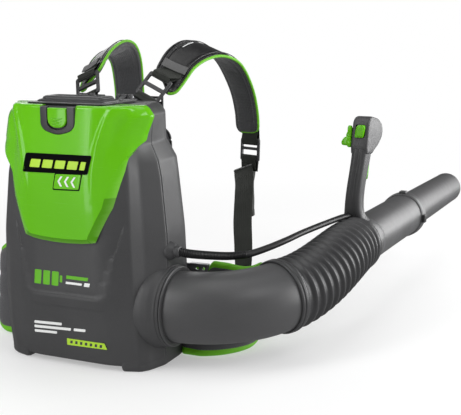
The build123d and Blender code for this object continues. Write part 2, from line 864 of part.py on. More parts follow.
with BuildPart() as turbo_button:
    with BuildSketch(at_y(391.5)):
        with Locations(button_spot):
            RectangleRounded(button_w, button_h, button_corner)
    extrude(amount=-12)
save(turbo_button, "turbo_button")

# Plain sleeve standing in for the coil
with BuildPart() as button_spring:
    with BuildSketch(at_y(408)):
        with Locations(button_spot):
            Circle(5)
            Circle(3.8, mode=Mode.SUBTRACT)
    extrude(amount=-8)
save(button_spring, "button_spring")

# (y, z) outline of the lever arm
lever_arm = [
    (412, 377), (405, 392), (398, 392), (396, 384), (403, 374), (402, 368), (394, 360),
    (396, 352), (404, 352), (413, 366),
]
with BuildPart() as cruise_lever:
    with BuildSketch(at_x(tube_x - 26)):
        with Locations(lever_pivot):
            Circle(9)
        with BuildLine():
            Polyline(*lever_arm, close=True)
        make_face()
    extrude(amount=8)
    # stub that enters the left grip half
    with BuildSketch(at_x(tube_x - 19)):
        with Locations(lever_pivot):
            Circle(3.0)
    extrude(amount=8)
save(cruise_lever, "cruise_lever")

# ==== control cable =======================================================
with BuildPart() as cable_gland:
    for x, radius, length in ((151, gland_r, 17), (168, 9.5, 5)):
        with BuildSketch(at_x(x)):
            with Locations(gland_spot):
                Circle(radius)
        extrude(amount=length)
    with BuildSketch(at_x(140)):
        with Locations(gland_spot):
            Circle(6.6)
    extrude(amount=60, mode=Mode.SUBTRACT)
save(cable_gland, "cable_gland")


def cable_part(name, points, tangents, radius, bore=None):
    """Save a round cable swept through the points, hollow if a bore is given."""
    with BuildPart() as cable:
        with BuildLine() as centre_line:
            Spline(*points, tangents=tangents)
        with BuildSketch(Plane(origin=centre_line.line @ 0, z_dir=centre_line.line % 0)):
            Circle(radius)
            if bore is not None:
                Circle(bore, mode=Mode.SUBTRACT)
        sweep(path=centre_line.line)
    save(cable, name)


conduit_end_dir = (0.6, 0.78, -0.05)
cable_part(
    "cable_conduit",
    [(173.3, 4, 199), (186, 14, 198), (207, 48, 193), (230, 84, 187), (254, 112, 184)],
    tangents=((1, 0, 0), conduit_end_dir), radius=6.4, bore=4.6,
)
cable_part(
    "control_cable",
    [(255, 113.4, 184), (283, 156, 188), (310, 222, 198), (331, 300, 208), (343, 350, 219),
     (351, 376.5, 225)],
    tangents=(conduit_end_dir, (0.5, 0.85, 0.15)), radius=4.5,
)

# ==== base ================================================================
with BuildPart() as feet:
    with BuildSketch(Plane.XY):
        for x in (-127, 127):
            with Locations((x, -4)):
                RectangleRounded(40, 112, 10)
        # low bar that ties the two skids together under the housing
        Rectangle(240, 30)
    extrude(amount=body_bottom)
save(feet, "feet")

# ==== harness frame =======================================================
mount_spots = [(-95, 60), (95, 60), (-80, 410), (80, 410)]  # x, z
with BuildPart() as anti_vibration_mounts:
    with BuildSketch(at_y(rear_y)):
        with Locations(*mount_spots):
            Circle(13)
    extrude(amount=-(plate_y0 - rear_y))
save(anti_vibration_mounts, "anti_vibration_mounts")

# (x, z) outline
frame_outline = [
    (-126, 20), (126, 20), (126, 190), (104, 260), (100, 446), (-100, 446), (-104, 260),
    (-126, 190),
]
with BuildPart() as back_frame:
    with BuildSketch(at_y(plate_y0)):
        with BuildLine():
            Polyline(*frame_outline, close=True)
        make_face()
        with Locations((fan_x, fan_z)):
            Circle(fan_eye_r, mode=Mode.SUBTRACT)
        with Locations((0, 330)):
            RectangleRounded(110, 120, 14, mode=Mode.SUBTRACT)
    extrude(amount=-(plate_y1 - plate_y0))
save(back_frame, "back_frame")

anchor_x, anchor_w, anchor_t = 62, 46, 3
anchor_y1 = plate_y1 + anchor_t
with BuildPart() as strap_anchors:
    for side in (-1, 1):
        with BuildSketch(at_y(plate_y1)):
            with Locations((side * anchor_x, 432)):
                Rectangle(anchor_w, 26)
        extrude(amount=-anchor_t)
        with BuildSketch(at_x(side * anchor_x - anchor_w / 2)):
            with BuildLine():
                Polyline(
                    (plate_y1, 445), (anchor_y1, 445), (anchor_y1, 462), (plate_y1, 462),
                    close=True,
                )
            make_face()
        extrude(amount=anchor_w)
        # webbing slot
        with BuildSketch(at_y(plate_y1 - 2)):
            with Locations((side * anchor_x, 455)):
                Rectangle(38, 5)
        extrude(amount=-8, mode=Mode.SUBTRACT)
save(strap_anchors, "strap_anchors")

bracket_z0, bracket_z1 = 146, 162
bracket_t = 2.5
with BuildPart() as belt_brackets:
    for side in (-1, 1):
        with BuildSketch(at_y(90.2)):
            with BuildLine():
                Polyline(
                    (side * 90, bracket_z0), (side * 182, bracket_z0),
                    (side * 186, bracket_z1), (side * 90, bracket_z1), close=True,
                )
            make_face()
            with Locations((side * 162, 154), (side * 175, 154)):
                Circle(2.6, mode=Mode.SUBTRACT)
        extrude(amount=-bracket_t)
        # flange along the top edge
        with BuildSketch(at_z(bracket_z1)):
            with Locations((side * 168, 88.5)):
                Rectangle(36, 8.4)
        extrude(amount=bracket_t)
save(belt_brackets, "belt_brackets")

with BuildPart() as back_pad:
    with BuildSketch(at_y(plate_y1 + 1)):
        with Locations((0, 310)):
            RectangleRounded(190, 200, 30)
    extrude(amount=-20)
save(back_pad, "back_pad")

# ==== hip pad =============================================================
# One thick strip that wraps forward on the tube side and lies more open on
# the free side. (x, y) centre line:
hip_line = [
    (-290, 132), (-285, 110), (-260, 98), (-222, 97), (-186, 105), (-140, 119), (-60, 121),
    (60, 121), (136, 118), (164, 112), (192, 104), (216, 111), (233, 130), (241, 160), (243, 215),
]
hip_half_t = 9.0
# (x, z) cuts that slope the corners at the right and left ends
hip_end_cuts = [
    [(300, 0), (300, 60), (246, 0)],
    [(300, 190), (300, 120), (200, 164), (150, 182), (150, 190)],
    [(-320, 0), (-320, 70), (-270, 0)],
    [(-320, 190), (-320, 130), (-240, 182), (-240, 190)],
]


def hip_side(distance):
    """Hip line moved to its left by distance, or to its right if negative."""
    side_points = []
    for i, (x, y) in enumerate(hip_line):
        x0, y0 = hip_line[max(i - 1, 0)]
        x1, y1 = hip_line[min(i + 1, len(hip_line) - 1)]
        length = math.hypot(x1 - x0, y1 - y0)
        normal_x, normal_y = -(y1 - y0) / length, (x1 - x0) / length
        side_points.append((x + normal_x * distance, y + normal_y * distance))
    return side_points


with BuildPart() as hip_pad:
    with BuildSketch(at_z(1)):
        with BuildLine():
            Polyline(*(hip_side(-hip_half_t) + hip_side(hip_half_t)[::-1]), close=True)
        make_face()
    extrude(amount=180)
    for cut in hip_end_cuts:
        with BuildSketch(at_y(80)):
            with BuildLine():
                Polyline(*cut, close=True)
            make_face()
        extrude(amount=-160, mode=Mode.SUBTRACT)
save(hip_pad, "hip_pad")


# ==== shoulder harness ====================================================
def strap(stations, side=1):
    """Loft a flat strap in the open part through (centre, across, width, thickness)."""
    centres = [mirrored(station[0], side) for station in stations]
    faces = []
    for i, (_, across, width, thickness) in enumerate(stations):
        before = centres[max(i - 1, 0)]
        after = centres[min(i + 1, len(centres) - 1)]
        along = (after - before).normalized()
        across = mirrored(across, side)
        across = (across - along * across.dot(along)).normalized()
        with BuildSketch(Plane(origin=centres[i], x_dir=across, z_dir=along)) as section:
            Rectangle(width, thickness)
        faces.append(section.sketch.faces()[0])
    loft(faces, ruled=True)


def buckle_pair(name, centre, across, up, size, slot, slot_offsets):
    """Save a right buckle and its mirror image, each a plate with two slots."""
    thickness = 5
    with BuildPart() as buckles:
        for side in (1, -1):
            x_dir = mirrored(across, side).normalized()
            normal = x_dir.cross(mirrored(up, side)).normalized()
            plane = Plane(origin=mirrored(centre, side), x_dir=x_dir, z_dir=normal)
            with BuildSketch(plane.offset(-thickness / 2)):
                Rectangle(*size)
                with Locations(*[(0, offset) for offset in slot_offsets]):
                    Rectangle(*slot, mode=Mode.SUBTRACT)
            extrude(amount=thickness)
    save(buckles, name)


# Right-hand pad, over the shoulder from back to chest
pad_stations = [
    # centre, across, width, thickness
    ((84, 138, 500), (0.82, 0.1, -0.5), 58, 12),
    ((88, 176, 534), (0.88, 0.0, -0.42), 66, 13),
    ((94, 226, 552), (0.93, -0.05, -0.36), 70, 14),
    ((105, 276, 548), (0.95, -0.15, -0.25), 70, 14),
    ((118, 320, 520), (0.96, -0.2, -0.15), 66, 14),
    ((130, 350, 468), (0.96, -0.28, 0.0), 62, 13),
    ((137, 362, 424), (0.95, -0.3, 0.0), 58, 12),
    ((141, 364, 386), (0.95, -0.3, 0.0), 50, 11),
]
for side, tag in ((1, "right"), (-1, "left")):
    with BuildPart() as shoulder_pad:
        strap(pad_stations, side)
    save(shoulder_pad, "shoulder_pad_" + tag)

# Ladder-lock buckles at the back end of each pad
upper_up = Vector(0.22, 0.42, 0.72).normalized()
upper_lean = Vector(0.85, -0.1, -0.4)
buckle_pair(
    "upper_buckles", centre=(74.5, 121, 482),
    across=upper_lean - upper_up * upper_lean.dot(upper_up), up=upper_up,
    size=(54, 36), slot=(42, 9), slot_offsets=(9.5, -9.5),
)

upper_web_w, upper_web_t = 36, 1.6
upper_web_stations = [
    ((62, 114.2, 441), (1, 0, 0), upper_web_w, upper_web_t),
    ((63, 114.6, 451), (1, 0, -0.1), upper_web_w, upper_web_t),
    ((65.5, 114.8, 461), (0.95, 0, -0.25), upper_web_w, upper_web_t),
]
with BuildPart() as upper_webbing:
    for side in (1, -1):
        strap(upper_web_stations, side)
save(upper_webbing, "upper_webbing")

# Buckles below the chest end of each pad
buckle_pair(
    "lower_buckles", centre=(142.5, 366, 352), across=(0.95, -0.3, 0), up=(0, 0.05, 1),
    size=(46, 44), slot=(34, 6), slot_offsets=(8, -5),
)

# Webbing from the lower buckles down to the hip pad; the two sides differ
lower_web_w, lower_web_t = 38, 1.8
right_web = [
    # centre, across
    ((144, 364, 326), (0.95, -0.3, 0)), ((170, 306, 285), (0.97, -0.2, 0)),
    ((200, 228, 230), (0.98, 0.1, 0)), ((222, 170, 190), (0.85, 0.5, 0)),
    ((229, 148, 164), (0.5, 0.86, 0)),
]
left_web = [
    ((-144, 364, 326), (-0.95, -0.3, 0)), ((-176, 306, 285), (-0.97, -0.2, 0)),
    ((-214, 228, 230), (-0.98, 0, 0)), ((-246, 150, 190), (-0.98, 0.1, 0)),
    ((-262, 116, 166), (-0.93, -0.2, 0)),
]
with BuildPart() as lower_webbing:
    for web in (right_web, left_web):
        strap([(centre, across, lower_web_w, lower_web_t) for centre, across in web])
save(lower_webbing, "lower_webbing")
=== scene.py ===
"""A battery backpack blower: housing, air path, control handle and padded harness.

It stands on z = 0. The printed front of the housing faces -Y and the harness is on +Y.
Air leaves the housing at +X, turns through an elbow and runs along +Y to the nozzle.
"Right" is +X. Sizes are in millimetres until a mesh is made; MM turns them into metres.
"""

import json
import math

import bmesh
import bpy
import numpy as np
from mathutils import Matrix, Vector

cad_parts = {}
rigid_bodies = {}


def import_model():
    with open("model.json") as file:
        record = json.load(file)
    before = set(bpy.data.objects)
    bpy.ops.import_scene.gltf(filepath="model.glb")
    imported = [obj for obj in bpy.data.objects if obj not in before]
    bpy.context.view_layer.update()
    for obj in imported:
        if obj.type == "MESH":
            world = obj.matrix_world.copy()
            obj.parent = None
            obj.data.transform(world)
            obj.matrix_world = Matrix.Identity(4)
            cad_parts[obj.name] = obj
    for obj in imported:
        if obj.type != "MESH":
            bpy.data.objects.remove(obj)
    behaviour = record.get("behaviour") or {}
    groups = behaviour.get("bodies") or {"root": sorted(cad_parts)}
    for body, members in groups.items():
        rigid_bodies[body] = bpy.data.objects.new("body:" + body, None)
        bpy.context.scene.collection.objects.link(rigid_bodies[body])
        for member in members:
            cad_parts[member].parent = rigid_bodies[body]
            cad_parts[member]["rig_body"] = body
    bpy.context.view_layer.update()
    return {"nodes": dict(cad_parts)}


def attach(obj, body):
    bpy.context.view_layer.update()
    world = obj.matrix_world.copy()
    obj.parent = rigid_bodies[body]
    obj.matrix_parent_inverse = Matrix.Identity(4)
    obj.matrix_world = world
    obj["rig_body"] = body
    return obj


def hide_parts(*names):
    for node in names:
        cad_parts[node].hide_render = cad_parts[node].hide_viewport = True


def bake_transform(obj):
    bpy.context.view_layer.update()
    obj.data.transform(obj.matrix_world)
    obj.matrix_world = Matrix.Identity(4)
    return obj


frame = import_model()
NODES = frame["nodes"]
MM = 0.001
X, Y, Z = np.eye(3)
XY, XZ, YZ = (X, Y), (X, Z), (Y, Z)  # drawing planes; a prism grows towards +Z, -Y and +X
scene = bpy.context.scene


# ---------------------------------------------------------------- material tools
class Material:
    """A Principled material, with short calls that add nodes to its tree."""

    def __init__(self, name):
        self.data = bpy.data.materials.new(name)
        self.data.use_nodes = True
        self.tree = self.data.node_tree
        self.tree.nodes.clear()
        self.output = self.node("ShaderNodeOutputMaterial")
        self.shader = self.node("ShaderNodeBsdfPrincipled")
        self.link(self.shader.outputs[0], self.output.inputs[0])
        self.position = self.node("ShaderNodeTexCoord").outputs["Object"]

    def link(self, source, target):
        self.tree.links.new(source, target)

    def feed(self, socket, value):
        if isinstance(value, bpy.types.NodeSocket):
            self.link(value, socket)
        elif socket.type == "RGBA":
            socket.default_value = (*value, 1.0)
        else:
            socket.default_value = value

    def fill(self, node, **inputs):
        """Feed inputs by name, with _ for each space; None leaves an input alone."""
        for key, value in inputs.items():
            if value is not None:
                self.feed(node.inputs[key.replace("_", " ")], value)

    def node(self, kind, **inputs):
        node = self.tree.nodes.new(kind)
        self.fill(node, **inputs)
        return node

    def set(self, **inputs):
        self.fill(self.shader, **inputs)

    def noise(self, scale, detail=4.0, rough=0.5, vector=None):
        return self.node("ShaderNodeTexNoise", Vector=vector or self.position, Scale=scale,
                         Detail=detail, Roughness=rough).outputs["Fac"]

    def voronoi(self, scale, vector=None, randomness=1.0):
        return self.node("ShaderNodeTexVoronoi", Vector=vector or self.position, Scale=scale,
                         Randomness=randomness).outputs["Distance"]

    def stretched(self, scale, rotation=(0.0, 0.0, 0.0)):
        """Object position scaled by axis, for streaked noise."""
        return self.node("ShaderNodeMapping", Vector=self.position, Scale=scale,
                         Rotation=rotation).outputs[0]

    def math(self, operation, a, b=0.0, clamp=False):
        node = self.node("ShaderNodeMath")
        node.operation = operation
        node.use_clamp = clamp
        self.feed(node.inputs[0], a)
        self.feed(node.inputs[1], b)
        return node.outputs[0]

    def add(self, a, b, clamp=False):
        return self.math("ADD", a, b, clamp)

    def times(self, a, b):
        return self.math("MULTIPLY", a, b)

    def plus(self, value, mask, amount, clamp=False):
        """value + mask * amount"""
        return self.add(value, self.times(mask, amount), clamp)

    def wave(self, value, length):
        return self.math("SINE", self.times(value, 2 * math.pi / length))

    def half_wave(self, value):
        """Bring a value from -1..1 to 0..1."""
        return self.add(self.times(value, 0.5), 0.5)

    def ramp(self, value, low, high):
        """Smooth step from 0 at low to 1 at high."""
        node = self.node("ShaderNodeMapRange", Value=value, From_Min=low, From_Max=high)
        node.interpolation_type = "SMOOTHSTEP"
        return node.outputs["Result"]

    def mix(self, factor, a, b):
        node = self.node("ShaderNodeMix")
        node.data_type = "RGBA"
        for index, value in ((0, factor), (6, a), (7, b)):
            self.feed(node.inputs[index], value)
        return node.outputs[2]

    def tint(self, base, colour, mask, amount):
        return self.mix(self.times(mask, amount), base, colour)

    def bump(self, height, distance, strength=1.0, normal=None):
        return self.node("ShaderNodeBump", Distance=distance, Strength=strength,
                         Height=height, Normal=normal).outputs[0]

    def edges(self, low, high):
        """Mask of the convex edges."""
        geometry = self.node("ShaderNodeNewGeometry")
        return self.ramp(geometry.outputs["Pointiness"], low, high)

    def uv(self):
        node = self.node("ShaderNodeUVMap")
        node.uv_map = "UVMap"
        return node.outputs[0]

    def uv_parts(self):
        parts = self.node("ShaderNodeSeparateXYZ")
        self.link(self.uv(), parts.inputs[0])
        return parts.outputs[0], parts.outputs[1]


def tone(rgb, factor):
    return tuple(min(1.0, c * factor) for c in rgb)


def plastic(name, rgb, rough, grain=900.0, grain_height=0.00005, cells=True, drift=0.10,
            edge_wear_and_highlight=0.35, spec=0.5):
    """Moulded plastic: eroded grain, slow colour drift, lighter convex edges and faint scuffs; the
    edges are rubbed wear, and on the hose also painted highlight.
    """
    m = Material(name)
    slow = m.ramp(m.noise(scale=7.0, detail=3.0), low=0.3, high=0.7)
    base = m.mix(slow, tone(rgb, 1 - drift), tone(rgb, 1 + drift))
    specks = m.ramp(m.noise(scale=grain * 0.45, detail=2.0), low=0.45, high=0.75)
    base = m.tint(base, tone(rgb, 1.25), specks, amount=0.35)
    # convex edges lightened: rubbed wear, and painted highlight where the amount is raised
    base = m.tint(base, tone(rgb, 1.9), m.edges(low=0.53, high=0.60), amount=edge_wear_and_highlight)
    scuffs = m.ramp(m.noise(scale=38.0, detail=8.0, rough=0.7), low=0.58, high=0.72)
    # patchy roughness centred on rough, and rougher scuffs
    patches = 0.12
    roughness = m.add(m.times(m.noise(scale=60.0, detail=5.0), patches), rough - patches / 2)
    roughness = m.plus(roughness, scuffs, amount=0.06, clamp=True)
    height = m.noise(scale=grain, detail=2.0, rough=0.6)
    if cells:
        height = m.add(m.times(height, 0.5), m.voronoi(scale=grain * 0.8))
    normal = m.bump(height, distance=grain_height)
    normal = m.bump(m.noise(scale=22.0, detail=2.0), distance=0.0004, strength=0.25, normal=normal)
    m.set(Base_Color=base, Roughness=roughness, Normal=normal, Coat_Roughness=0.08,
          Specular_IOR_Level=spec)
    return m.data


def gloss(name, rgb, rough, coat, spec=0.5):
    """Polished coloured plastic with orange peel and hairline scratches."""
    m = Material(name)
    slow = m.ramp(m.noise(scale=5.0, detail=3.0), low=0.3, high=0.7)
    base = m.mix(slow, tone(rgb, 0.93), tone(rgb, 1.05))
    gaps = m.ramp(m.voronoi(scale=1400.0), low=0.0, high=0.25)
    base = m.tint(base, tone(rgb, 1.2), m.math("SUBTRACT", 1.0, gaps), amount=0.12)
    edge_green = (0.55, 0.85, 0.30)
    base = m.tint(base, edge_green, m.edges(low=0.54, high=0.62), amount=0.25)
    streaks = m.stretched(scale=(30.0, 30.0, 900.0), rotation=(0.3, 0.5, 0.2))
    streaks = m.noise(scale=1.0, detail=5.0, rough=0.6, vector=streaks)
    scratches = m.ramp(streaks, low=0.62, high=0.70)
    roughness = m.plus(rough, scratches, amount=0.10)
    roughness = m.plus(roughness, m.noise(scale=30.0, detail=4.0), amount=0.05, clamp=True)
    normal = m.bump(m.noise(scale=160.0, detail=2.0), distance=0.00004, strength=0.5)
    normal = m.bump(scratches, distance=0.00001, strength=0.3, normal=normal)
    m.set(Base_Color=base, Roughness=roughness, Normal=normal, Coat_Weight=coat,
          Coat_Roughness=0.05, Specular_IOR_Level=spec)
    return m.data


def cloth(name, rgb, pitch, height, rough=0.85, sheen=0.25, contrast=0.35, weave="plain",
          spec=0.35):
    """Fabric laid out on UVs in metres; pitch and height in metres too."""
    m = Material(name)
    if weave == "knit":
        # open cells in a loose honeycomb
        distance = m.voronoi(scale=1.0 / pitch, vector=m.uv(), randomness=0.25)
        threads = m.ramp(distance, low=0.18, high=0.48)
    else:
        u, v = m.uv_parts()
        if weave == "satin":
            threads = m.half_wave(m.wave(m.plus(u, v, amount=0.5), length=pitch))
        else:
            crossing = m.times(m.wave(u, length=pitch), m.wave(v, length=pitch))
            threads = m.half_wave(crossing)
    fuzz = m.noise(scale=420.0, detail=4.0, rough=0.7)
    thread_share, fuzz_share = 0.7, 0.3  # of the light and dark in the colour
    shade = m.add(m.times(threads, thread_share), m.times(fuzz, fuzz_share))
    base = m.mix(shade, tone(rgb, 1 - contrast), tone(rgb, 1 + contrast))
    patches = m.ramp(m.noise(scale=16.0, detail=4.0), low=0.35, high=0.7)
    base = m.tint(base, tone(rgb, 1.3), patches, amount=0.25)
    normal = m.bump(m.plus(threads, fuzz, amount=0.35), distance=height)
    normal = m.bump(m.noise(scale=45.0, detail=3.0), distance=0.0012, strength=0.30, normal=normal)
    fuzz_rough = 0.1
    roughness = m.plus(rough - fuzz_rough / 2, fuzz, amount=fuzz_rough, clamp=True)
    m.set(Base_Color=base, Roughness=roughness, Normal=normal, Sheen_Weight=sheen,
          Sheen_Roughness=0.4, Specular_IOR_Level=spec)
    return m.data


def webbing(name, rgb):
    """Herringbone strap webbing."""
    m = Material(name)
    u, v = m.uv_parts()
    rib = m.math("ABSOLUTE", m.wave(v, length=0.0075))
    threads = m.half_wave(m.wave(m.plus(u, rib, amount=0.0009), length=0.0017))
    fuzz = m.noise(scale=600.0, detail=4.0, rough=0.7)
    base = m.mix(threads, tone(rgb, 0.72), tone(rgb, 1.3))
    base = m.tint(base, tone(rgb, 1.6), fuzz, amount=0.3)
    thread_relief, rib_relief = 0.7, 0.4
    height = m.plus(m.times(rib, rib_relief), fuzz, amount=0.2)
    height = m.add(m.times(threads, thread_relief), height)
    m.set(Base_Color=base, Roughness=m.plus(0.62, fuzz, amount=0.15),
          Normal=m.bump(height, distance=0.0003), Sheen_Weight=0.05)
    return m.data


def metal(name, rgb, rough):
    """Brushed metal with faint stains."""
    m = Material(name)
    brushed = m.stretched(scale=(1500.0, 40.0, 40.0))
    brushed = m.noise(scale=1.0, detail=6.0, rough=0.7, vector=brushed)
    stains = m.ramp(m.noise(scale=30.0, detail=6.0), low=0.45, high=0.75)
    m.set(Base_Color=m.tint(rgb, tone(rgb, 0.7), stains, amount=0.3), Metallic=1.0,
          Roughness=m.plus(rough, brushed, amount=0.18), Normal=m.bump(brushed, distance=0.00003))
    return m.data


# ---------------------------------------------------------------- materials
GREEN = (0.122, 0.475, 0.003)
MAT = {
    "green": gloss("green_gloss", GREEN, rough=0.20, coat=0.35, spec=0.28),
    # darker copy of the green: painted shade for the cover's bevelled borders
    "green_painted_shade": gloss("green_border_painted_shade", tone(GREEN, 0.60), rough=0.35, coat=0.1, spec=0.15),
    "green_soft": gloss("green_soft", tone(GREEN, 0.95), rough=0.42, coat=0.0),
    "lime": gloss("lime_print", (0.42, 0.68, 0.03), rough=0.35, coat=0.0),
    "ink_white": plastic("ink_white", (0.78, 0.79, 0.78), rough=0.45, grain=1500,
                         grain_height=0.00001, cells=False, drift=0.03, edge_wear_and_highlight=0),
    "ink_black": gloss("ink_black", (0.002, 0.002, 0.0025), rough=0.5, coat=0.0, spec=0.04),
    "shell": plastic("shell_grey", (0.050, 0.050, 0.052), rough=0.46, grain=1000,
                     grain_height=0.00006),
    # lighter copy of the shell grey, painted light for the neck that faces the light; no piece is
    # given it
    "neck": plastic("shell_grey_painted_light", (0.075, 0.075, 0.078), rough=0.46, grain=1000,
                    grain_height=0.00006),
    "black": plastic("black_plastic", (0.018, 0.018, 0.019), rough=0.42, grain=800,
                     grain_height=0.00006),
    "dark": plastic("dark_plastic", (0.036, 0.036, 0.038), rough=0.40, grain=800,
                    grain_height=0.00006),
    "tube": plastic("tube_grey", (0.064, 0.064, 0.066), rough=0.42, grain=1100,
                    grain_height=0.00004, cells=False),
    "rubber": plastic("rubber_black", (0.022, 0.022, 0.023), rough=0.60, grain=500,
                      grain_height=0.00010, drift=0.12, edge_wear_and_highlight=0.25, spec=0.35),
    # the raised edge lightening is wear, and also painted highlight on the bellows' rib crests
    "hose": plastic("hose_rubber", (0.042, 0.042, 0.044), rough=0.40, grain=700,
                    grain_height=0.00006, cells=False, edge_wear_and_highlight=0.55),
    "cable": plastic("cable_rubber", (0.014, 0.014, 0.015), rough=0.40, grain=900,
                     grain_height=0.00004, cells=False, edge_wear_and_highlight=0.3),
    "steel": metal("steel", (0.55, 0.56, 0.58), rough=0.25),
    "alu": metal("aluminium", (0.72, 0.73, 0.75), rough=0.34),
    "copper": metal("copper_winding", (0.72, 0.32, 0.14), rough=0.35),
    "board": gloss("board_green", (0.01, 0.12, 0.04), rough=0.35, coat=0.3),
    "pad": cloth("pad_fabric", (0.070, 0.070, 0.074), pitch=1.6 * MM, height=0.0003),
    "mesh": cloth("pad_mesh", (0.046, 0.046, 0.049), pitch=3.4 * MM, height=0.0006,
                  contrast=0.5, weave="knit"),
    "satin": cloth("strap_cover", (0.0055, 0.0055, 0.006), pitch=0.9 * MM, height=0.00008,
                   rough=0.30, sheen=0.0, contrast=0.3, weave="satin", spec=0.6),
    "trim": cloth("green_trim", (0.135, 0.470, 0.008), pitch=0.9 * MM, height=0.00012,
                  rough=0.45, sheen=0.10, contrast=0.15),
    "web": webbing("webbing", (0.012, 0.014, 0.010)),
    "web_grey": webbing("webbing_grey", (0.095, 0.095, 0.095)),
    "thread": plastic("stitch_thread", (0.13, 0.13, 0.135), rough=0.6, grain=2000,
                      grain_height=0.00004, cells=False, edge_wear_and_highlight=0),
    "pale": plastic("reflective_tab", (0.62, 0.63, 0.63), rough=0.35, grain=2000,
                    grain_height=0.00002, drift=0.05, edge_wear_and_highlight=0),
}


# ---------------------------------------------------------------- mesh tools
def new_object(name, mesh):
    obj = bpy.data.objects.new(name, mesh)
    scene.collection.objects.link(obj)
    return obj


def shade(mesh, sharp=32.0):
    """Smooth shading, with edges sharper than this angle kept hard."""
    for face in mesh.polygons:
        face.use_smooth = True
    mesh.set_sharp_from_angle(angle=math.radians(sharp))


def add_mesh(name, verts, faces, mats, uvs=None, mat_index=None, sharp=38.0, weld=True):
    mesh = bpy.data.meshes.new(name)
    verts = (np.asarray(verts, float) * MM).tolist()
    mesh.from_pydata(verts, [], [tuple(int(i) for i in face) for face in faces])
    for mat in mats if isinstance(mats, (list, tuple)) else [mats]:
        mesh.materials.append(mat)
    if mat_index is not None:
        mesh.polygons.foreach_set("material_index", np.asarray(mat_index, np.int32))
    if uvs is not None:
        layer = mesh.uv_layers.new(name="UVMap")
        flat = np.array([c for face in uvs for point in face for c in point], np.float32)
        layer.data.foreach_set("uv", flat)
    obj = new_object(name, mesh)
    bm = bmesh.new()
    bm.from_mesh(mesh)
    if weld:
        bmesh.ops.remove_doubles(bm, verts=bm.verts, dist=2e-6)
        bmesh.ops.dissolve_degenerate(bm, dist=1e-7, edges=bm.edges)
    loose = [v for v in bm.verts if not v.link_faces]
    if loose:
        bmesh.ops.delete(bm, geom=loose, context="VERTS")
    bmesh.ops.recalc_face_normals(bm, faces=bm.faces)
    bm.to_mesh(mesh)
    bm.free()
    mesh.update()
    shade(mesh, sharp)
    return obj


def loft(name, rings, mats, closed=False, cap=False, pick=None, sharp=38.0, weld=True):
    """Quads between equal closed rings, with UVs in metres.

    closed joins the last ring to the first; pick(i, j) gives the material slot of a face.
    """
    rings = np.asarray(rings, float)
    count, around = rings.shape[:2]
    norm = np.linalg.norm
    u = np.zeros(count + 1)
    u[1:count] = np.cumsum(norm(rings[1:] - rings[:-1], axis=2).mean(1)) * MM
    u[count] = u[count - 1] + norm(rings[0] - rings[-1], axis=1).mean() * MM
    v = np.zeros(around + 1)
    v[1:around] = np.cumsum(norm(rings[:, 1:] - rings[:, :-1], axis=2).mean(0)) * MM
    v[around] = v[around - 1] + norm(rings[:, 0] - rings[:, -1], axis=1).mean() * MM
    faces, uvs, mat_index = [], [], []
    for i in range(count if closed else count - 1):
        for j in range(around):
            a, b = (i + 1) % count, (j + 1) % around
            faces.append((i * around + j, a * around + j, a * around + b, i * around + b))
            uvs.append(((u[i], v[j]), (u[i + 1], v[j]), (u[i + 1], v[j + 1]), (u[i], v[j + 1])))
            mat_index.append(pick(i, j) if pick else 0)
    if cap:
        for i in (0, count - 1):
            faces.append(tuple(i * around + j for j in range(around)))
            uvs.append(tuple((u[i], v[j]) for j in range(around)))
            mat_index.append(pick(min(i, count - 2), 0) if pick else 0)
    return add_mesh(name, rings.reshape(-1, 3), faces, mats, uvs, mat_index, sharp, weld)


def solid_between(name, outer, inner, mats, sharp=30.0):
    """Closed solid between two open grids of the same size."""
    rows, cols = outer.shape[:2]
    total = rows * cols
    verts = np.concatenate([outer.reshape(-1, 3), inner.reshape(-1, 3)])
    faces = []
    for i in range(rows - 1):
        for j in range(cols - 1):
            a, b = i * cols + j, (i + 1) * cols + j
            quad = (a, b, b + 1, a + 1)
            faces.append(quad)
            faces.append(tuple(total + k for k in quad[::-1]))
    border = [(0, j) for j in range(cols)] + [(i, cols - 1) for i in range(1, rows)]
    border += [(rows - 1, j) for j in range(cols - 2, -1, -1)]
    border += [(i, 0) for i in range(rows - 2, 0, -1)]
    border = [i * cols + j for i, j in border]
    for a, b in zip(border, border[1:] + border[:1]):
        faces.append((a, b, total + b, total + a))
    return add_mesh(name, verts, faces, mats, None, [0] * len(faces), sharp)


def unit(v):
    v = np.asarray(v, float)
    return v / np.linalg.norm(v)


def unit_rows(v):
    length = np.linalg.norm(v, axis=1)
    length[length < 1e-6] = 1
    return v / length[:, None]


def smooth_step(low, high, value):
    t = np.clip((np.asarray(value, float) - low) / (high - low), 0, 1)
    return t * t * (3 - 2 * t)


def bend(start, corner, end, t):
    """Point on a quadratic curve that rounds a corner."""
    return (1 - t) ** 2 * start + 2 * t * (1 - t) * corner + t * t * end


def soft(points, radius, steps=5):
    """Round the corners of a closed polyline; radius is a number or one for each corner."""
    points = [np.asarray(p, float) for p in points]
    count = len(points)
    radii = radius if isinstance(radius, (list, tuple)) else [radius] * count
    out = []
    for i, p in enumerate(points):
        a, b = points[i - 1], points[(i + 1) % count]
        len_a, len_b = np.linalg.norm(a - p), np.linalg.norm(b - p)
        reach = min(radii[i], 0.48 * len_a, 0.48 * len_b)
        if reach < 1e-6:
            out.append(p)
            continue
        start, end = p + (a - p) / len_a * reach, p + (b - p) / len_b * reach
        out += [bend(start, p, end, t) for t in np.linspace(0, 1, steps + 1)]
    return out


def rounded_rect(width, height, radius, steps=6, cx=0.0, cy=0.0):
    x0, x1, y0, y1 = cx - width / 2, cx + width / 2, cy - height / 2, cy + height / 2
    return soft([(x0, y0), (x1, y0), (x1, y1), (x0, y1)], radius, steps)


def resample_closed(points, count):
    loop = np.vstack([points, points[:1]])
    dist = np.r_[0, np.cumsum(np.linalg.norm(np.diff(loop, axis=0), axis=1))]
    at = np.linspace(0, dist[-1], count, endpoint=False)
    return np.stack([np.interp(at, dist, column) for column in loop.T], 1)


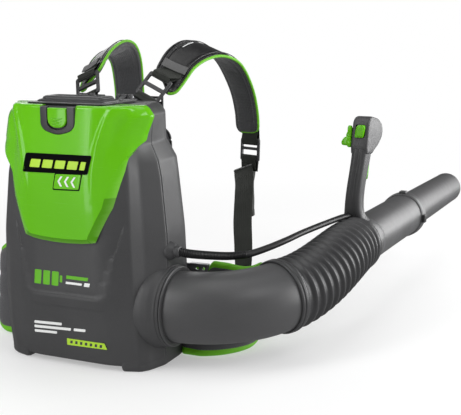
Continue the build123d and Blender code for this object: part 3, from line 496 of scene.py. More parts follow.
def pipe(name, stations, mats, seg, closed=False, cap=False, shape=None, pick=None, sharp=38.0):
    """Rings at stations (centre, direction, radius); shape(i, angles) scales the radius."""
    angles = np.linspace(0, 2 * math.pi, seg, endpoint=False)
    rings = np.zeros((len(stations), seg, 3))
    last = X
    for i, (centre, direction, radius) in enumerate(stations):
        # one vector of the ring stays level with Z where it can
        direction = unit(direction)
        up = Z - direction * np.dot(Z, direction)
        if np.linalg.norm(up) < 0.12:
            up = last - direction * np.dot(last, direction)
        up = last = unit(up)
        side = np.cross(direction, up)
        r = radius * (shape(i, angles) if shape else 1.0)
        rings[i] = np.asarray(centre, float) + np.outer(np.cos(angles) * r, up)
        rings[i] += np.outer(np.sin(angles) * r, side)
    return loft(name, rings, mats, closed=closed, cap=cap, pick=pick, sharp=sharp)


def lathe(name, origin, axis, profile, mats, seg, r=0.0, n=3, sharp=38.0):
    """Closed profile of (distance along the axis, radius); r rounds its corners."""
    if r:
        profile = soft(profile, r, n)
    origin, axis = np.asarray(origin, float), unit(axis)
    stations = [(origin + axis * along, axis, radius) for along, radius in profile]
    return pipe(name, stations, mats, seg, closed=True, sharp=sharp)


def curve_points(points, step):
    """Catmull-Rom curve, resampled evenly, and the distance along it."""
    p = [np.asarray(q, float) for q in points]
    p = [2 * p[0] - p[1]] + p + [2 * p[-1] - p[-2]]
    out = []
    for i in range(1, len(p) - 2):
        for t in np.linspace(0, 1, 24, endpoint=False):
            a, b, c, d = p[i - 1 : i + 3]
            out.append(0.5 * ((2 * b) + (-a + c) * t + (2 * a - 5 * b + 4 * c - d) * t * t
                              + (-a + 3 * b - 3 * c + d) * t**3))
    out.append(p[-2])
    out = np.array(out)
    dist = np.r_[0, np.cumsum(np.linalg.norm(np.diff(out, axis=0), axis=1))]
    count = max(2, int(round(dist[-1] / step)) + 1)
    even = np.linspace(0, dist[-1], count)
    return np.stack([np.interp(even, dist, column) for column in out.T], 1), even


def directions(points, closed=False):
    if closed:
        d = np.roll(points, -1, 0) - np.roll(points, 1, 0)
    else:
        d = np.gradient(points, axis=0)
    return d / np.linalg.norm(d, axis=1)[:, None]


def prism(name, outline, origin, plane, depth, mats, r=1.0, n=3, corner=0.0, sharp=30.0):
    """Outline in a plane, extruded from origin along the plane's normal.

    r and n round the long edges of both ends; corner rounds the outline itself.
    """
    outline = [np.asarray(p, float) for p in outline]
    area = sum(outline[i - 1][0] * p[1] - p[0] * outline[i - 1][1] for i, p in enumerate(outline))
    if area < 0:
        outline = outline[::-1]
        if isinstance(corner, (list, tuple)):
            corner = list(corner)[::-1]
    if corner:
        outline = soft(outline, corner, 6)
    # drop repeated points
    outline = [p for i, p in enumerate(outline) if np.linalg.norm(p - outline[i - 1]) > 1e-4]
    count = len(outline)
    origin = np.asarray(origin, float)
    across, up = unit(plane[0]), unit(plane[1])
    normal = np.cross(across, up)
    outward = []
    for i, b in enumerate(outline):
        d1, d2 = unit(b - outline[i - 1]), unit(outline[(i + 1) % count] - b)
        n1, n2 = np.array([d1[1], -d1[0]]), np.array([d2[1], -d2[0]])
        mitre = n1 + n2
        outward.append(mitre / max(0.3, np.dot(mitre, n1)))
    turn = np.linspace(0, math.pi / 2, n + 1)
    levels = [(r * (1 - math.sin(t)), r * (1 - math.cos(t))) for t in turn[::-1]]
    levels += [(depth - r * (1 - math.sin(t)), r * (1 - math.cos(t))) for t in turn]
    rings = np.zeros((len(levels), count, 3))
    for i, (height, inset) in enumerate(levels):
        for j in range(count):
            x, y = outline[j] - outward[j] * inset
            rings[i, j] = origin + across * x + up * y + normal * height
    return loft(name, rings, mats, cap=True, sharp=sharp)


def join(name, objects):
    """One object out of several, kept as separate closed islands."""
    bm = bmesh.new()
    mats = []
    mesh = bpy.data.meshes.new(name)
    for obj in objects:
        remap = []
        for mat in obj.data.materials:
            if mat not in mats:
                mats.append(mat)
            remap.append(mats.index(mat))
        copy = obj.data.copy()
        for face in copy.polygons:
            face.material_index = remap[face.material_index]
        copy.transform(obj.matrix_world)
        bm.from_mesh(copy)
        bpy.data.meshes.remove(copy)
    bm.to_mesh(mesh)
    bm.free()
    for mat in mats:
        mesh.materials.append(mat)
    for obj in objects:
        bpy.data.objects.remove(obj)
    joined = new_object(name, mesh)
    shade(mesh)
    return joined


def put(obj, body, slot, *nodes):
    """Fix a piece to a moving body, and hide the CAD nodes it stands in for."""
    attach(obj, body)
    if nodes:
        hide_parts(*nodes)
    return obj


def refine(node, width, seg, mat):
    """A CAD node rebuilt with rounded edges."""
    source = NODES[node]
    bm = bmesh.new()
    bm.from_mesh(source.data)
    bmesh.ops.remove_doubles(bm, verts=bm.verts, dist=2e-5)
    flat = math.radians(0.6)
    bmesh.ops.dissolve_limit(bm, angle_limit=flat, verts=bm.verts, edges=bm.edges)
    edges = [e for e in bm.edges
             if len(e.link_faces) == 2 and e.calc_face_angle(0) > math.radians(28.0)]
    bmesh.ops.bevel(bm, geom=edges, offset=width * MM, offset_type="OFFSET", segments=seg,
                    profile=0.5, affect="EDGES", clamp_overlap=True)
    bmesh.ops.recalc_face_normals(bm, faces=bm.faces)
    mesh = bpy.data.meshes.new(node + "_v")
    bm.to_mesh(mesh)
    bm.free()
    mesh.materials.append(mat)
    for face in mesh.polygons:
        face.material_index = 0
    shade(mesh)
    return put(new_object(node + "_v", mesh), source["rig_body"], None, node)


def bake(obj):
    """The object's mesh with its modifiers applied; the modifiers are cleared."""
    bpy.context.view_layer.update()
    depsgraph = bpy.context.evaluated_depsgraph_get()
    mesh = bpy.data.meshes.new_from_object(obj.evaluated_get(depsgraph))
    obj.modifiers.clear()
    return mesh


def cut(obj, cutter, sharp=32.0):
    """Subtract the cutter and remove it."""
    mod = obj.modifiers.new("cut", "BOOLEAN")
    mod.operation = "DIFFERENCE"
    mod.solver = "EXACT"
    mod.object = cutter
    mesh = bake(obj)
    mats = list(obj.data.materials)
    obj.data = mesh
    mesh.materials.clear()
    for mat in mats:
        mesh.materials.append(mat)
    bpy.data.objects.remove(cutter)
    for face in mesh.polygons:
        if face.material_index >= len(mats):
            face.material_index = 0
    shade(mesh, sharp)


# ---------------------------------------------------------------- housing outline
BOTTOM, TOP = 8, 456
CENTRE_Y = -12.0
# Outline by height, anticlockwise from the front right. Right-hand points:
# z, front x y, front corner x y, side x y, then x at y = -12, 58 and 90;
# left-hand points: front corner x y, side x y, then x at y = -12, 58 and 90.
LEVELS = np.array([
    (8, 80, -80, 130, -64, 140, -50, 149, 146, 138, -126, -66, -145, -54, -155, -150, -140),
    (60, 78, -92, 128, -70, 138, -50, 154, 152, 142, -130, -74, -150, -57, -160, -156, -144),
    (135, 74, -101, 123, -74, 134, -49, 158, 156, 144, -129, -78, -152, -58, -163, -158, -146),
    (233, 73, -97, 118, -74, 131, -49, 157, 151, 140, -124, -77, -150, -58, -160, -153, -142),
    (335, 73, -100, 114, -69, 123, -46, 147, 141, 127, -118, -73, -140, -56, -150, -143, -129),
    (360, 73, -100, 112, -67, 120, -45, 142, 138, 123, -115, -71, -134, -55, -145, -140, -125),
    (392, 73, -98, 110, -64, 120, -45, 128, 118, 102, -111, -68, -126, -50, -131, -120, -104),
    (440, 74, -94, 112, -64, 130, -42, 133, 117, 100, -112, -68, -130, -46, -135, -119, -102),
    (456, 70, -92, 106, -66, 120, -44, 124, 104, 90, -106, -68, -120, -46, -126, -106, -92),
], float)
LEVEL_Z, LEVEL_VALUES = LEVELS[:, 0], LEVELS[:, 1:]
LEVEL_BLEND = [0, 10, 12, 14, 9, 3, 3, 3, 0]  # half height over which each level is rounded


def level_linear(z):
    return np.array([np.interp(z, LEVEL_Z, column) for column in LEVEL_VALUES.T])


def level_at(z):
    for k, reach in enumerate(LEVEL_BLEND):
        if reach and abs(z - LEVEL_Z[k]) < reach:
            t = (z - LEVEL_Z[k] + reach) / (2 * reach)
            below, above = level_linear(LEVEL_Z[k] - reach), level_linear(LEVEL_Z[k] + reach)
            return bend(below, LEVEL_VALUES[k], above, t)
    return level_linear(z)


def level_outline(z):
    p = level_at(z)
    return [
        (p[0], p[1]), (p[2], p[3]), (p[4], p[5]), (p[6], CENTRE_Y), (p[7], 58.0), (p[8], 90.0),
        (p[15], 90.0), (p[14], 58.0), (p[13], CENTRE_Y), (p[11], p[12]), (p[9], p[10]),
        (-p[0], p[1]),
    ]


def offset_outline(points, offset):
    count = len(points)
    out = []
    for i, (x1, y1) in enumerate(points):
        (x0, y0), (x2, y2) = points[i - 1], points[(i + 1) % count]
        a = math.atan2(y1 - y0, x1 - x0) - math.pi / 2
        b = math.atan2(y2 - y1, x2 - x1) - math.pi / 2
        ax, ay, bx, by = math.cos(a), math.sin(a), math.cos(b), math.sin(b)
        det = ax * by - ay * bx
        pa, pb = ax * x1 + ay * y1 + offset, bx * x1 + by * y1 + offset
        if abs(det) < 1e-6:
            out.append((x1 + ax * offset, y1 + ay * offset))
        else:
            out.append(((pa * by - ay * pb) / det, (ax * pb - pa * bx) / det))
    return out


ARC_SEG = 6
CORNER_R = [22, 4, 4, 5, 12, 15, 15, 12, 5, 4, 4, 22]
EDGE_SEG = [16, 8, 14, 22, 12, 60, 12, 22, 14, 8, 16, 66]  # on the edge after each corner
SEAM_CORNER = 8


def ring_at(z, offset=0.0):
    """Rounded outline from the middle of the left seam corner, round the front."""
    points = [np.array(p) for p in offset_outline(level_outline(z), offset)]
    count = len(points)
    arcs = []
    for i, p in enumerate(points):
        a, b = points[i - 1], points[(i + 1) % count]
        len_a, len_b = np.linalg.norm(a - p), np.linalg.norm(b - p)
        reach = min(CORNER_R[i] * (1 if offset < 1 else 1.3), 0.42 * len_a, 0.42 * len_b)
        start, end = p + (a - p) / len_a * reach, p + (b - p) / len_b * reach
        arcs.append([bend(start, p, end, t) for t in np.linspace(0, 1, ARC_SEG + 1)])
    out = []
    for step in range(count):
        i = (SEAM_CORNER + step) % count
        arc, after = arcs[i], arcs[(i + 1) % count][0]
        out += arc[ARC_SEG // 2:] if step == 0 else arc
        seg = EDGE_SEG[i]
        out += [arc[-1] + (after - arc[-1]) * k / seg for k in range(1, seg)]
    out += arcs[SEAM_CORNER][: ARC_SEG // 2]
    return np.array(out)


# column of the right seam
SEAM_COLUMN = ARC_SEG + EDGE_SEG[8] + sum(ARC_SEG + EDGE_SEG[i] for i in (9, 10, 11, 0, 1, 2))


def panel_depth(x, z):
    """Recess of the V panel, less the ledge under it; positive goes inwards."""
    half_width = 73.5 + (z - 132.0) * 0.30
    inside = np.minimum(half_width - np.abs(x), z - 132.0)
    recess = 3.2 * smooth_step(0.0, 3.0, inside) * (1 - smooth_step(236, 266, z))
    ledge = np.minimum(np.minimum(131.0 - z, z - 109.0), 76.0 - np.abs(x))
    return recess - 1.2 * smooth_step(0.0, 3.0, ledge)


def shell_row(z, inset=0.0):
    x, y = ring_at(z, -inset).T.copy()
    front = y < -58
    y[front] += panel_depth(x[front], z)
    return np.stack([x, y, np.full_like(x, z)], 1)


def ray_rect(points, half_width, y_min, y_max, centre_y=CENTRE_Y):
    """Where rays from (0, centre_y) through the points meet a rectangle."""
    out = points.copy()
    for i, p in enumerate(points):
        dx, dy = p[0], p[1] - centre_y
        t = 1e9
        if abs(dx) > 1e-9:
            t = min(t, half_width / abs(dx))
        if dy > 1e-9:
            t = min(t, (y_max - centre_y) / dy)
        elif dy < -1e-9:
            t = min(t, (y_min - centre_y) / dy)
        out[i, :2] = dx * t, centre_y + dy * t
    return out


def shell_rows():
    """Rows of the housing: bottom, walls, top edge and down into the battery opening."""
    bottom_r, top_r = 8.0, 9.0
    rows = []
    centre = np.array([0.0, CENTRE_Y, BOTTOM])
    bottom = shell_row(BOTTOM + bottom_r, bottom_r)
    for share in (0.02, 0.35, 0.7):
        row = centre + (bottom - centre) * share
        row[:, 2] = BOTTOM
        rows.append(row)
    for t in np.linspace(0, math.pi / 2, 7)[:-1]:
        row = shell_row(BOTTOM + bottom_r, bottom_r * (1 - math.sin(t)))
        row[:, 2] = BOTTOM + bottom_r * (1 - math.cos(t))
        rows.append(row)
    # closer rows over the panel and at the creases between levels
    heights = [*np.arange(BOTTOM + bottom_r, 100, 4.0), *np.arange(100, 266, 2.0)]
    heights += [*np.arange(266, 326, 5.0), *np.arange(326, 345, 2.5)]
    heights += [345, 350, 354, 357, 358.5, 360, 361.5, 363, *np.arange(366, 389, 3.0)]
    heights += [389, 390.5, 392, 393.5, 395, 400, 410, 420, 430, 437, 438.5, 440, 441.5, 443]
    heights.append(TOP - top_r)
    rows += [shell_row(z) for z in sorted(set(heights))]
    for t in np.linspace(0, math.pi / 2, 6)[1:]:
        rows.append(shell_row(TOP - top_r + top_r * math.sin(t), top_r * (1 - math.cos(t))))
    rim = rows[-1]
    opening = ray_rect(rim, half_width=64.2, y_min=-72.2, y_max=32.2)
    for share, z in ((0.3, TOP), (0.6, TOP), (1.0, TOP), (1.0, TOP - 6.0)):
        row = rim + (opening - rim) * share
        row[:, 2] = z
        rows.append(row)
    return np.array(rows)


def shell_piece(name, node, front):
    """Front or rear half of the housing, with a rounded lip at the seam."""
    wall, lip, seam_gap = 3.0, 0.9, 0.35
    rows = shell_rows()
    if front:
        outer = rows[:, : SEAM_COLUMN + 1].copy()
    else:
        outer = np.concatenate([rows[:, SEAM_COLUMN:], rows[:, :1]], 1)
    away = -seam_gap if front else seam_gap
    normals = np.cross(np.gradient(outer, axis=1), np.gradient(outer, axis=0))
    length = np.linalg.norm(normals, axis=2)
    length[length < 1e-9] = 1
    normals /= length[:, :, None]
    centre = np.array([0, 0, 230.0])
    normals[np.sum(normals * (outer - centre), axis=2) < 0] *= -1
    inner = outer - normals * wall
    for j in (0, outer.shape[1] - 1):
        outer[:, j, :2] -= normals[:, j, :2] * lip
        outer[:, j, 1] += away
        inner[:, j, 1] += away
    return put(solid_between(name, outer, inner, [MAT["shell"]], sharp=40),
               "housing", "shell_grey", node)


def drill(piece, origin, axis, radius, depth):
    profile = [(0, 0.001), (depth, 0.001), (depth, radius), (0, radius)]
    cut(piece, lathe("cutter", origin, axis, profile, MAT["shell"], 72), 40)


front_shell = shell_piece("housing_front", "front_shell", front=True)
rear_shell = shell_piece("housing_rear", "rear_shell", front=False)
for shell in (front_shell, rear_shell):
    drill(shell, (112, 5, 105), X, radius=71.5, depth=90)  # air outlet
    drill(shell, (125, 4, 199), X, radius=11.6, depth=60)  # cable gland
drill(rear_shell, (-20, 78, 157), Y, radius=66.0, depth=30)  # air intake

# ---------------------------------------------------------------- green cover
COVER_LIFT = 7.0
SKIN_Z = np.arange(200.0, 459.0, 1.0)


def skin(offset):
    return np.array([ring_at(min(z, float(TOP)), offset)[: SEAM_COLUMN + 1] for z in SKIN_Z])


OUTER_SKIN, INNER_SKIN = skin(COVER_LIFT), skin(0.35)
# side edges of the cover: x, z
COVER_SIDE = {
    True: [(66, 228), (98, 289), (115, 350), (119, 371), (127, 389), (133, 398), (160, 420),
           (170, 470)],
    False: [(-80, 232), (-110, 296), (-122, 340), (-135, 385), (-150, 400), (-160, 410),
            (-175, 470)],
}
RIGHT_SIDE_X, RIGHT_SIDE_Z = np.array(COVER_SIDE[True], float).T
# lower edge of the cover: x, z inside the border, z of the outer edge
LOWER_X, LOWER_INNER_Z, LOWER_OUTER_Z = np.array([
    (-90, 243.5, 235.5), (-80, 240, 232), (-60, 236, 227.8), (-40, 233.8, 225.4),
    (-15, 232.4, 223.8), (10, 232.2, 223.6), (40, 233.4, 225.2), (62, 236, 228), (80, 239, 231),
]).T
# raised fins, both sides: z, x
FIN_Z, FIN_X = np.array([(300, 64), (345, 67), (392, 75.5), (418, 83), (440, 91), (458, 98)]).T
# how far the sides swell outwards: z, mm
LEFT_BULGE = ([292, 312, 345, 375, 397, 430, 458], [0, 4.0, 9.0, 11.0, 12.0, 5.0, -7.0])
RIGHT_BULGE = ([380, 410, 442, 458], [0, 3.0, 11.0, 9.0])


def sample_skin(table, column, z):
    """Bilinear lookup of table[z, column]."""
    z = np.clip((z - SKIN_Z[0]), 0, len(SKIN_Z) - 1.001)
    i = z.astype(int)
    f = (z - i)[:, None]
    j = np.clip(column.astype(int), 0, table.shape[1] - 2)
    g = (column - j)[:, None]
    low = table[i, j] * (1 - g) + table[i, j + 1] * g
    high = table[i + 1, j] * (1 - g) + table[i + 1, j + 1] * g
    return low * (1 - f) + high * f


def edge_column(row, right, inset):
    """Fractional column where the cover ends at this height."""
    side_x, side_z = np.array(COVER_SIDE[right], float).T
    side = 1 if right else -1
    x_limit = np.interp(SKIN_Z[row], side_z, side_x) - side * inset
    y_limit = -34.0 - inset * 0.6
    line = OUTER_SKIN[row]
    last = len(line) - 1 if right else 0
    for j in range(len(line) // 2, last, side):
        p, q = line[j], line[j + side]
        hits = []
        if side * q[0] > side * x_limit >= side * p[0]:
            hits.append((x_limit - p[0]) / (q[0] - p[0]))
        if q[1] > y_limit >= p[1]:
            hits.append((y_limit - p[1]) / (q[1] - p[1]))
        if hits:
            return j + side * min(hits)
    return float(last)


def border_width(z):
    return float(17.0 - 14.0 * smooth_step(335, 388, z))


# columns of the cover's side edges by height; the key is (right, outer edge of the border)
EDGE_COLUMNS = {
    (right, outer): np.array([edge_column(i, right, 0.0 if outer else border_width(z))
                              for i, z in enumerate(SKIN_Z)])
    for right in (False, True) for outer in (False, True)
}


def fin_depth(x, z):
    """Raised fin (negative) with a valley (positive) on its outer side."""
    grow = np.clip((z - 296) / 150.0, 0, 1)
    grow = grow * (1.25 - 0.25 * grow)
    t = np.abs(x) - np.interp(z, FIN_Z, FIN_X)
    fin = np.where(t < 0, 1 + t / (5.0 + 6.0 * grow), 1 - t / (12.0 + 8.0 * grow))
    fin = np.clip(fin, 0, 1)
    height = -5.4 * grow * fin * fin * (3 - 2 * fin)
    fade = np.clip((z - 372) / 80.0, 0, 1)
    valley = np.clip(1 - np.abs(t - (16.0 + 6.0 * grow)) / (9.0 + 5.0 * grow), 0, 1)
    return height + 3.6 * fade * valley * valley * (3 - 2 * valley)


# three columns to each housing column keep the fins crisp
COVER_COLUMNS = np.arange(0, (OUTER_SKIN.shape[1] - 1) * 3 + 1) / 3.0


def cover_row(height, lower_edge=False):
    """Outer and inner points of one row; the thin outer border has 4% of the lift."""
    z = np.full(len(COVER_COLUMNS), float(height))
    x = sample_skin(OUTER_SKIN, COVER_COLUMNS, z)[:, 0]
    if lower_edge:
        z = np.interp(x, LOWER_X, LOWER_OUTER_Z)
    else:
        z = np.maximum(z, np.interp(x, LOWER_X, LOWER_INNER_Z))
    ends = {key: np.interp(z, SKIN_Z, table) for key, table in EDGE_COLUMNS.items()}
    inside = np.clip(COVER_COLUMNS, ends[False, lower_edge], ends[True, lower_edge])
    column = np.r_[ends[False, True][0], inside, ends[True, True][-1]]
    z = np.r_[z[0], z, z[-1]]
    raised, under = sample_skin(OUTER_SKIN, column, z), sample_skin(INNER_SKIN, column, z)
    lift = np.ones(len(column))
    lift[0] = lift[-1] = 0.04
    if lower_edge:
        lift[:] = 0.04
    outer = np.c_[under + (raised - under) * lift[:, None], z]
    outer[:, :2] -= unit_rows(raised - under) * (fin_depth(raised[:, 0], z) * lift)[:, None]
    at_side = smooth_step(96.0, 126.0, np.abs(raised[:, 0])) * np.where(lift < 0.5, 0.0, 1.0)
    bulge = np.where(raised[:, 0] < 0, -np.interp(z, *LEFT_BULGE), np.interp(z, *RIGHT_BULGE))
    outer[:, 0] += bulge * at_side
    return outer, np.c_[under, z]


def cover_grids():
    round_z, round_r, top_z = 451, 6.0, 458.0
    heights = [*np.arange(222, 320, 3.0), *np.arange(320, 437, 2.0)]
    heights += [437, 438.5, 440, 441.5, 443, 446, 449, round_z]
    pairs = [cover_row(222, lower_edge=True)] + [cover_row(z) for z in sorted(set(heights))]
    for t in np.linspace(0, math.pi / 2, 6)[1:]:
        outer, inner = cover_row(round_z + round_r * math.sin(t) * 0.98)
        outer[:, :2] -= unit_rows(outer[:, :2] - inner[:, :2]) * round_r * (1 - math.cos(t))
        outer[:, 2] = round_z + (top_z - round_z) * math.sin(t)
        inner[:, 2] = np.minimum(inner[:, 2], 456.3)
        pairs.append((outer, inner))
    # flat top skin, inwards to a rectangle
    rims = pairs[-1]
    rects = [ray_rect(rim, half_width=78.0, y_min=-86.0, y_max=46.0, centre_y=-20.0)
             for rim in rims]
    for share in (0.05, 0.5, 0.95, 1.0):
        outer, inner = [rim + (rect - rim) * share for rim, rect in zip(rims, rects)]
        outer[:, 2] = top_z if share < 1 else top_z - 0.4
        inner[:, 2] = 456.35
        pairs.append((outer, inner))
    return [np.array(side) for side in zip(*pairs)]


# the second material is the darker green, painted shade on the borders
cover = solid_between("front_cover_v", *cover_grids(), [MAT["green"], MAT["green_painted_shade"]], sharp=36)
put(cover, "housing", "green_gloss", "front_cover")
LATCH_NOTCH = [(-34.3, 475), (-34.3, 424), (-26.3, 415), (0, 407.6), (26.3, 415), (34.3, 424),
               (34.3, 475)]
cut(cover, prism("notch", LATCH_NOTCH, (0, -60, 0), XZ, 70, MAT["green"], r=0.01, n=1,
                 corner=[0, 8, 8, 12, 8, 8, 0]), 36)
# the lower and lower-right border bands get a darker green: painted shade of their bevels
for face in cover.data.polygons:
    x, z = face.center.x / MM, face.center.z / MM
    low = z < float(np.interp(x, LOWER_X, LOWER_INNER_Z)) - 0.6
    border = 16.2 * (1 - float(smooth_step(284, 340, z)))
    side = z < 340 and x > float(np.interp(z, RIGHT_SIDE_Z, RIGHT_SIDE_X)) - border
    face.material_index = 1 if low or side else 0


# ---------------------------------------------------------------- badges and prints
def front_y(x, z, on_cover):
    y = level_at(min(z, float(TOP)))[1]
    if on_cover:
        return y - COVER_LIFT
    return y + float(panel_depth(np.array([x]), z)[0])


def decal(name, outline, mat, on_cover=False, lift=0.4, thick=0.9, corner=3.0):
    """Thin badge on the front surface; the outline is convex, in (x, z)."""
    step = 4.0
    points = np.array(soft(outline, corner, 4))
    px, pz = points.T
    z0, z1 = pz.min() + 1e-3, pz.max() - 1e-3
    even = np.linspace(z0, z1, max(2, int((z1 - z0) / step) + 1))
    heights = np.unique(np.r_[even, np.sort(pz)[1:-1]])
    heights = heights[np.r_[True, np.diff(heights) > 0.02]]
    columns = max(3, int((px.max() - px.min()) / step) + 1)
    outer = np.zeros((len(heights), columns + 2, 3))
    inner = outer.copy()
    for i, z in enumerate(heights):
        hits = []
        for k, b in enumerate(points):
            a = points[k - 1]
            if (a[1] - z) * (b[1] - z) <= 0 and abs(a[1] - b[1]) > 1e-9:
                hits.append(a[0] + (b[0] - a[0]) * (z - a[1]) / (b[1] - a[1]))
        x0, x1 = min(hits), max(hits)
        margin = min(0.6, (x1 - x0) * 0.2)
        for j, x in enumerate(np.r_[x0, np.linspace(x0 + margin, x1 - margin, columns), x1]):
            y = front_y(x, z, on_cover)
            edge = j in (0, columns + 1) or i in (0, len(heights) - 1)
            outer[i, j] = (x, y - lift + (0.3 if edge else 0.0), z)
            inner[i, j] = (x, y - lift + thick, z)
    put(solid_between(name, outer, inner, mat, sharp=40), "housing", None)


def slanted(x0, x1, z0, z1, lean):
    return [(x0, z0), (x1, z0), (x1 + lean, z1), (x0 + lean, z1)]


# black slanted plate with plain bars
decal("badge_plate", [(-71.3, 343.2), (59.9, 345.4), (68.6, 377.5), (-63.6, 376.3)],
      MAT["ink_black"], on_cover=True, lift=0.7, thick=1.2, corner=4)
for i, (x0, x1) in enumerate([(-54, -34), (-29, -9), (-4, 16), (21, 41), (46, 56)]):
    decal(f"badge_bar_{i}", slanted(x0 - 2, x1 - 2, 352.5, 366.5, 4), MAT["lime"],
          on_cover=True, lift=1.0, thick=0.6, corner=1.5)
# small framed plate with arrow marks
decal("badge_tag", [(-11.5, 315.5), (43, 317), (50, 346.5), (-5, 345)], MAT["ink_black"],
      on_cover=True, lift=0.5, thick=1.0, corner=3)
decal("badge_tag_face", [(-9.2, 317.8), (41.2, 319.2), (47.4, 344.6), (-3.4, 343.2)],
      MAT["green"], on_cover=True, lift=0.8, thick=0.6, corner=2.5)
for i in range(3):
    x = 13 * i
    for half, outline in (("a", slanted(x, x + 4, 331, 340, 7)),
                          ("b", slanted(x + 5, x + 9, 322.5, 331.4, -5))):
        decal(f"badge_arrow_{i}{half}", outline, MAT["ink_white"], on_cover=True, lift=1.1,
              thick=0.6, corner=0.8)
# power mark on the V panel: three cells, a cap and bars beside them
for i in range(3):
    x = -62 + 18 * i
    decal(f"power_cell_{i}", slanted(x, x + 14, 146, 171, 1.5), MAT["green_soft"], corner=2)
# name, outline, material, corner
PANEL_PRINTS = [
    ("power_cap", slanted(-9, -4, 153, 165, 0.4), "green_soft", 1.2),
    ("power_bar_0", slanted(4, 48, 160.5, 166.5, 1), "green_soft", 1),
    ("power_bar_1", slanted(3, 36, 151.5, 155.5, 0.7), "ink_white", 1),
    ("power_bar_2", slanted(40, 51, 150.5, 157, 1.5), "ink_white", 1),
    # bars low on the front, over a lime flash
    ("air_bar_0", [(-68, 72), (-10, 74.5), (-9, 79.5), (-67, 77)], "ink_white", 1.5),
    ("air_bar_1", [(-69, 63.5), (8, 67), (9, 72), (-68, 68.5)], "ink_white", 1.5),
    ("air_bar_2", [(-69.5, 55), (-22, 57.2), (-21, 62), (-69, 59.9)], "ink_white", 1.5),
    ("air_dot", [(14, 67.5), (38, 68.5), (39, 73.5), (15, 72.5)], "ink_white", 1.5),
    ("flash", [(-4.1, 38.6), (78, 40.5), (74, 51.9), (-2.6, 51.4)], "lime", 1.0),
]
for name, outline, mat, corner in PANEL_PRINTS:
    decal(name, outline, MAT[mat], corner=corner)
for i in range(7):
    x = 3 + i * 10
    decal(f"flash_bar_{i}", [(x, 42.6), (x + 5, 42.7), (x + 6.5, 48.3), (x + 1.5, 48.2)],
          MAT["shell"], lift=0.7, thick=0.5, corner=0.6)


# ---------------------------------------------------------------- latch and lid
def build_latch_bezel():
    outside = [(-34, 455.8), (-34, 424), (-26, 415), (0, 408), (26, 415), (34, 424), (34, 455.8)]
    inside = [(-20.6, 466.2), (-20.6, 426), (-13, 418.6), (0, 416), (13, 418.6), (20.6, 426),
              (20.6, 466.2)]
    bezel = prism("latch_bezel_v", outside, (0, -94.8, 0), XZ, 8.8, MAT["dark"], r=1.6,
                  corner=[0, 7, 7, 12, 7, 7, 0])
    cut(bezel, prism("bezel_hole", inside, (0, -80, 0), XZ, 50, MAT["dark"], r=0.01, n=1,
                     corner=[0, 7, 6, 6, 6, 7, 0]))
    put(bezel, "housing", "black_plastic", "latch_bezel")


def build_latch():
    """Green tab with three curved ridges."""
    outline = [(-18.6, 453.8), (-18.6, 430), (-11, 421.8), (0, 420.2), (11, 421.8), (18.6, 430),
               (18.6, 453.8)]
    parts = [prism("tab", outline, (0, -96.4, 0), XZ, 8.4, MAT["green"], r=1.8, n=4,
                   corner=[2, 6, 5, 6, 5, 6, 2])]
    count = 22
    for k in range(3):
        z = 437.5 - k * 5.2
        half = 12.5 - k * 0.8
        line = np.array([(x, -104.9 - 0.2 * (1 - (x / half) ** 2), z - 3.0 * (1 - (x / half) ** 2))
                         for x in np.linspace(-half, half, count)])
        taper = [min(1.0, 0.35 + 3 * min(i, count - 1 - i) / (count - 1)) for i in range(count)]
        stations = [(p, d, 0.95 * t) for p, d, t in zip(line, directions(line), taper)]
        parts.append(pipe("ridge", stations, MAT["green"], 12, cap=True))
    put(join("lid_latch_v", parts), "latch", "green_gloss", "lid_latch")


# raised top of the lid: half width, y front, y rear, corner radius, z
LID_TOP = [
    (60, -60, -18, 4, 460.3), (66.5, -66, -11, 6, 460.3), (67.5, -67, -10, 7, 460.9),
    (67.3, -66.8, -10.2, 7, 462.6), (64.5, -64.2, -12.6, 7, 464.4),
    (61.0, -61.5, -14.6, 7, 465.3), (60.4, -61.0, -15.0, 7, 466.0),
    (59.6, -60.4, -15.6, 7, 468.4), (57.4, -58.4, -17.4, 7, 469.9),
    (55.4, -56.6, -19.2, 6, 470.4), (51.5, -53.4, -22.4, 5, 470.4),
    (50.6, -52.6, -23.2, 5, 469.8), (49.8, -51.8, -24.0, 4, 466.0),
    (48.6, -50.6, -25.2, 4, 465.2), (20, -42, -34, 3, 465.0),
]


def build_lid():
    dark = MAT["dark"]
    plate = [(-77, -79), (-72, -84), (72, -84), (77, -79), (73, 40), (-73, 40)]
    parts = [prism("lid_plate", plate, (0, 0, 458.7), XY, 2.1, dark, r=0.7, corner=5)]
    rings = []
    for half, y0, y1, radius, z in LID_TOP:
        outline = np.array(rounded_rect(2 * half, y1 - y0, radius, 6, 0, (y0 + y1) / 2))
        rings.append([(x, y, z) for x, y in resample_closed(outline, 120)])
    parts.append(loft("lid_top", rings, dark, cap=True, sharp=34))
    for k in range(4):
        rib = rounded_rect(86, 2.4, 1.1, 4, 0, -46.0 + k * 6.0)
        parts.append(prism("rib", rib, (0, 0, 464.6), XY, 1.9, dark, r=0.6, n=2))
    knuckle = [(0.1, 2.1), (0.1, 5.0), (11.9, 5.0), (11.9, 2.1)]
    arm = [(36, 458.8), (47, 458.8), (48.5, 462.0), (46, 465.6), (36, 461.4)]
    for x in (-46.0, 34.0):
        parts.append(lathe("knuckle", (x, 50.0, 463.5), X, knuckle, dark, 40, 0.5, 3))
        parts.append(prism("arm", arm, (x + 0.3, 0, 0), YZ, 11.4, dark, r=0.6, n=2))
    for x in (-60, 60):
        pad = rounded_rect(14, 34, 3, 4, x, 14)
        parts.append(prism("pad", pad, (0, 0, 460.4), XY, 1.5, dark, r=0.6, n=2))
    put(join("battery_lid_v", parts), "lid", "black_plastic", "battery_lid")


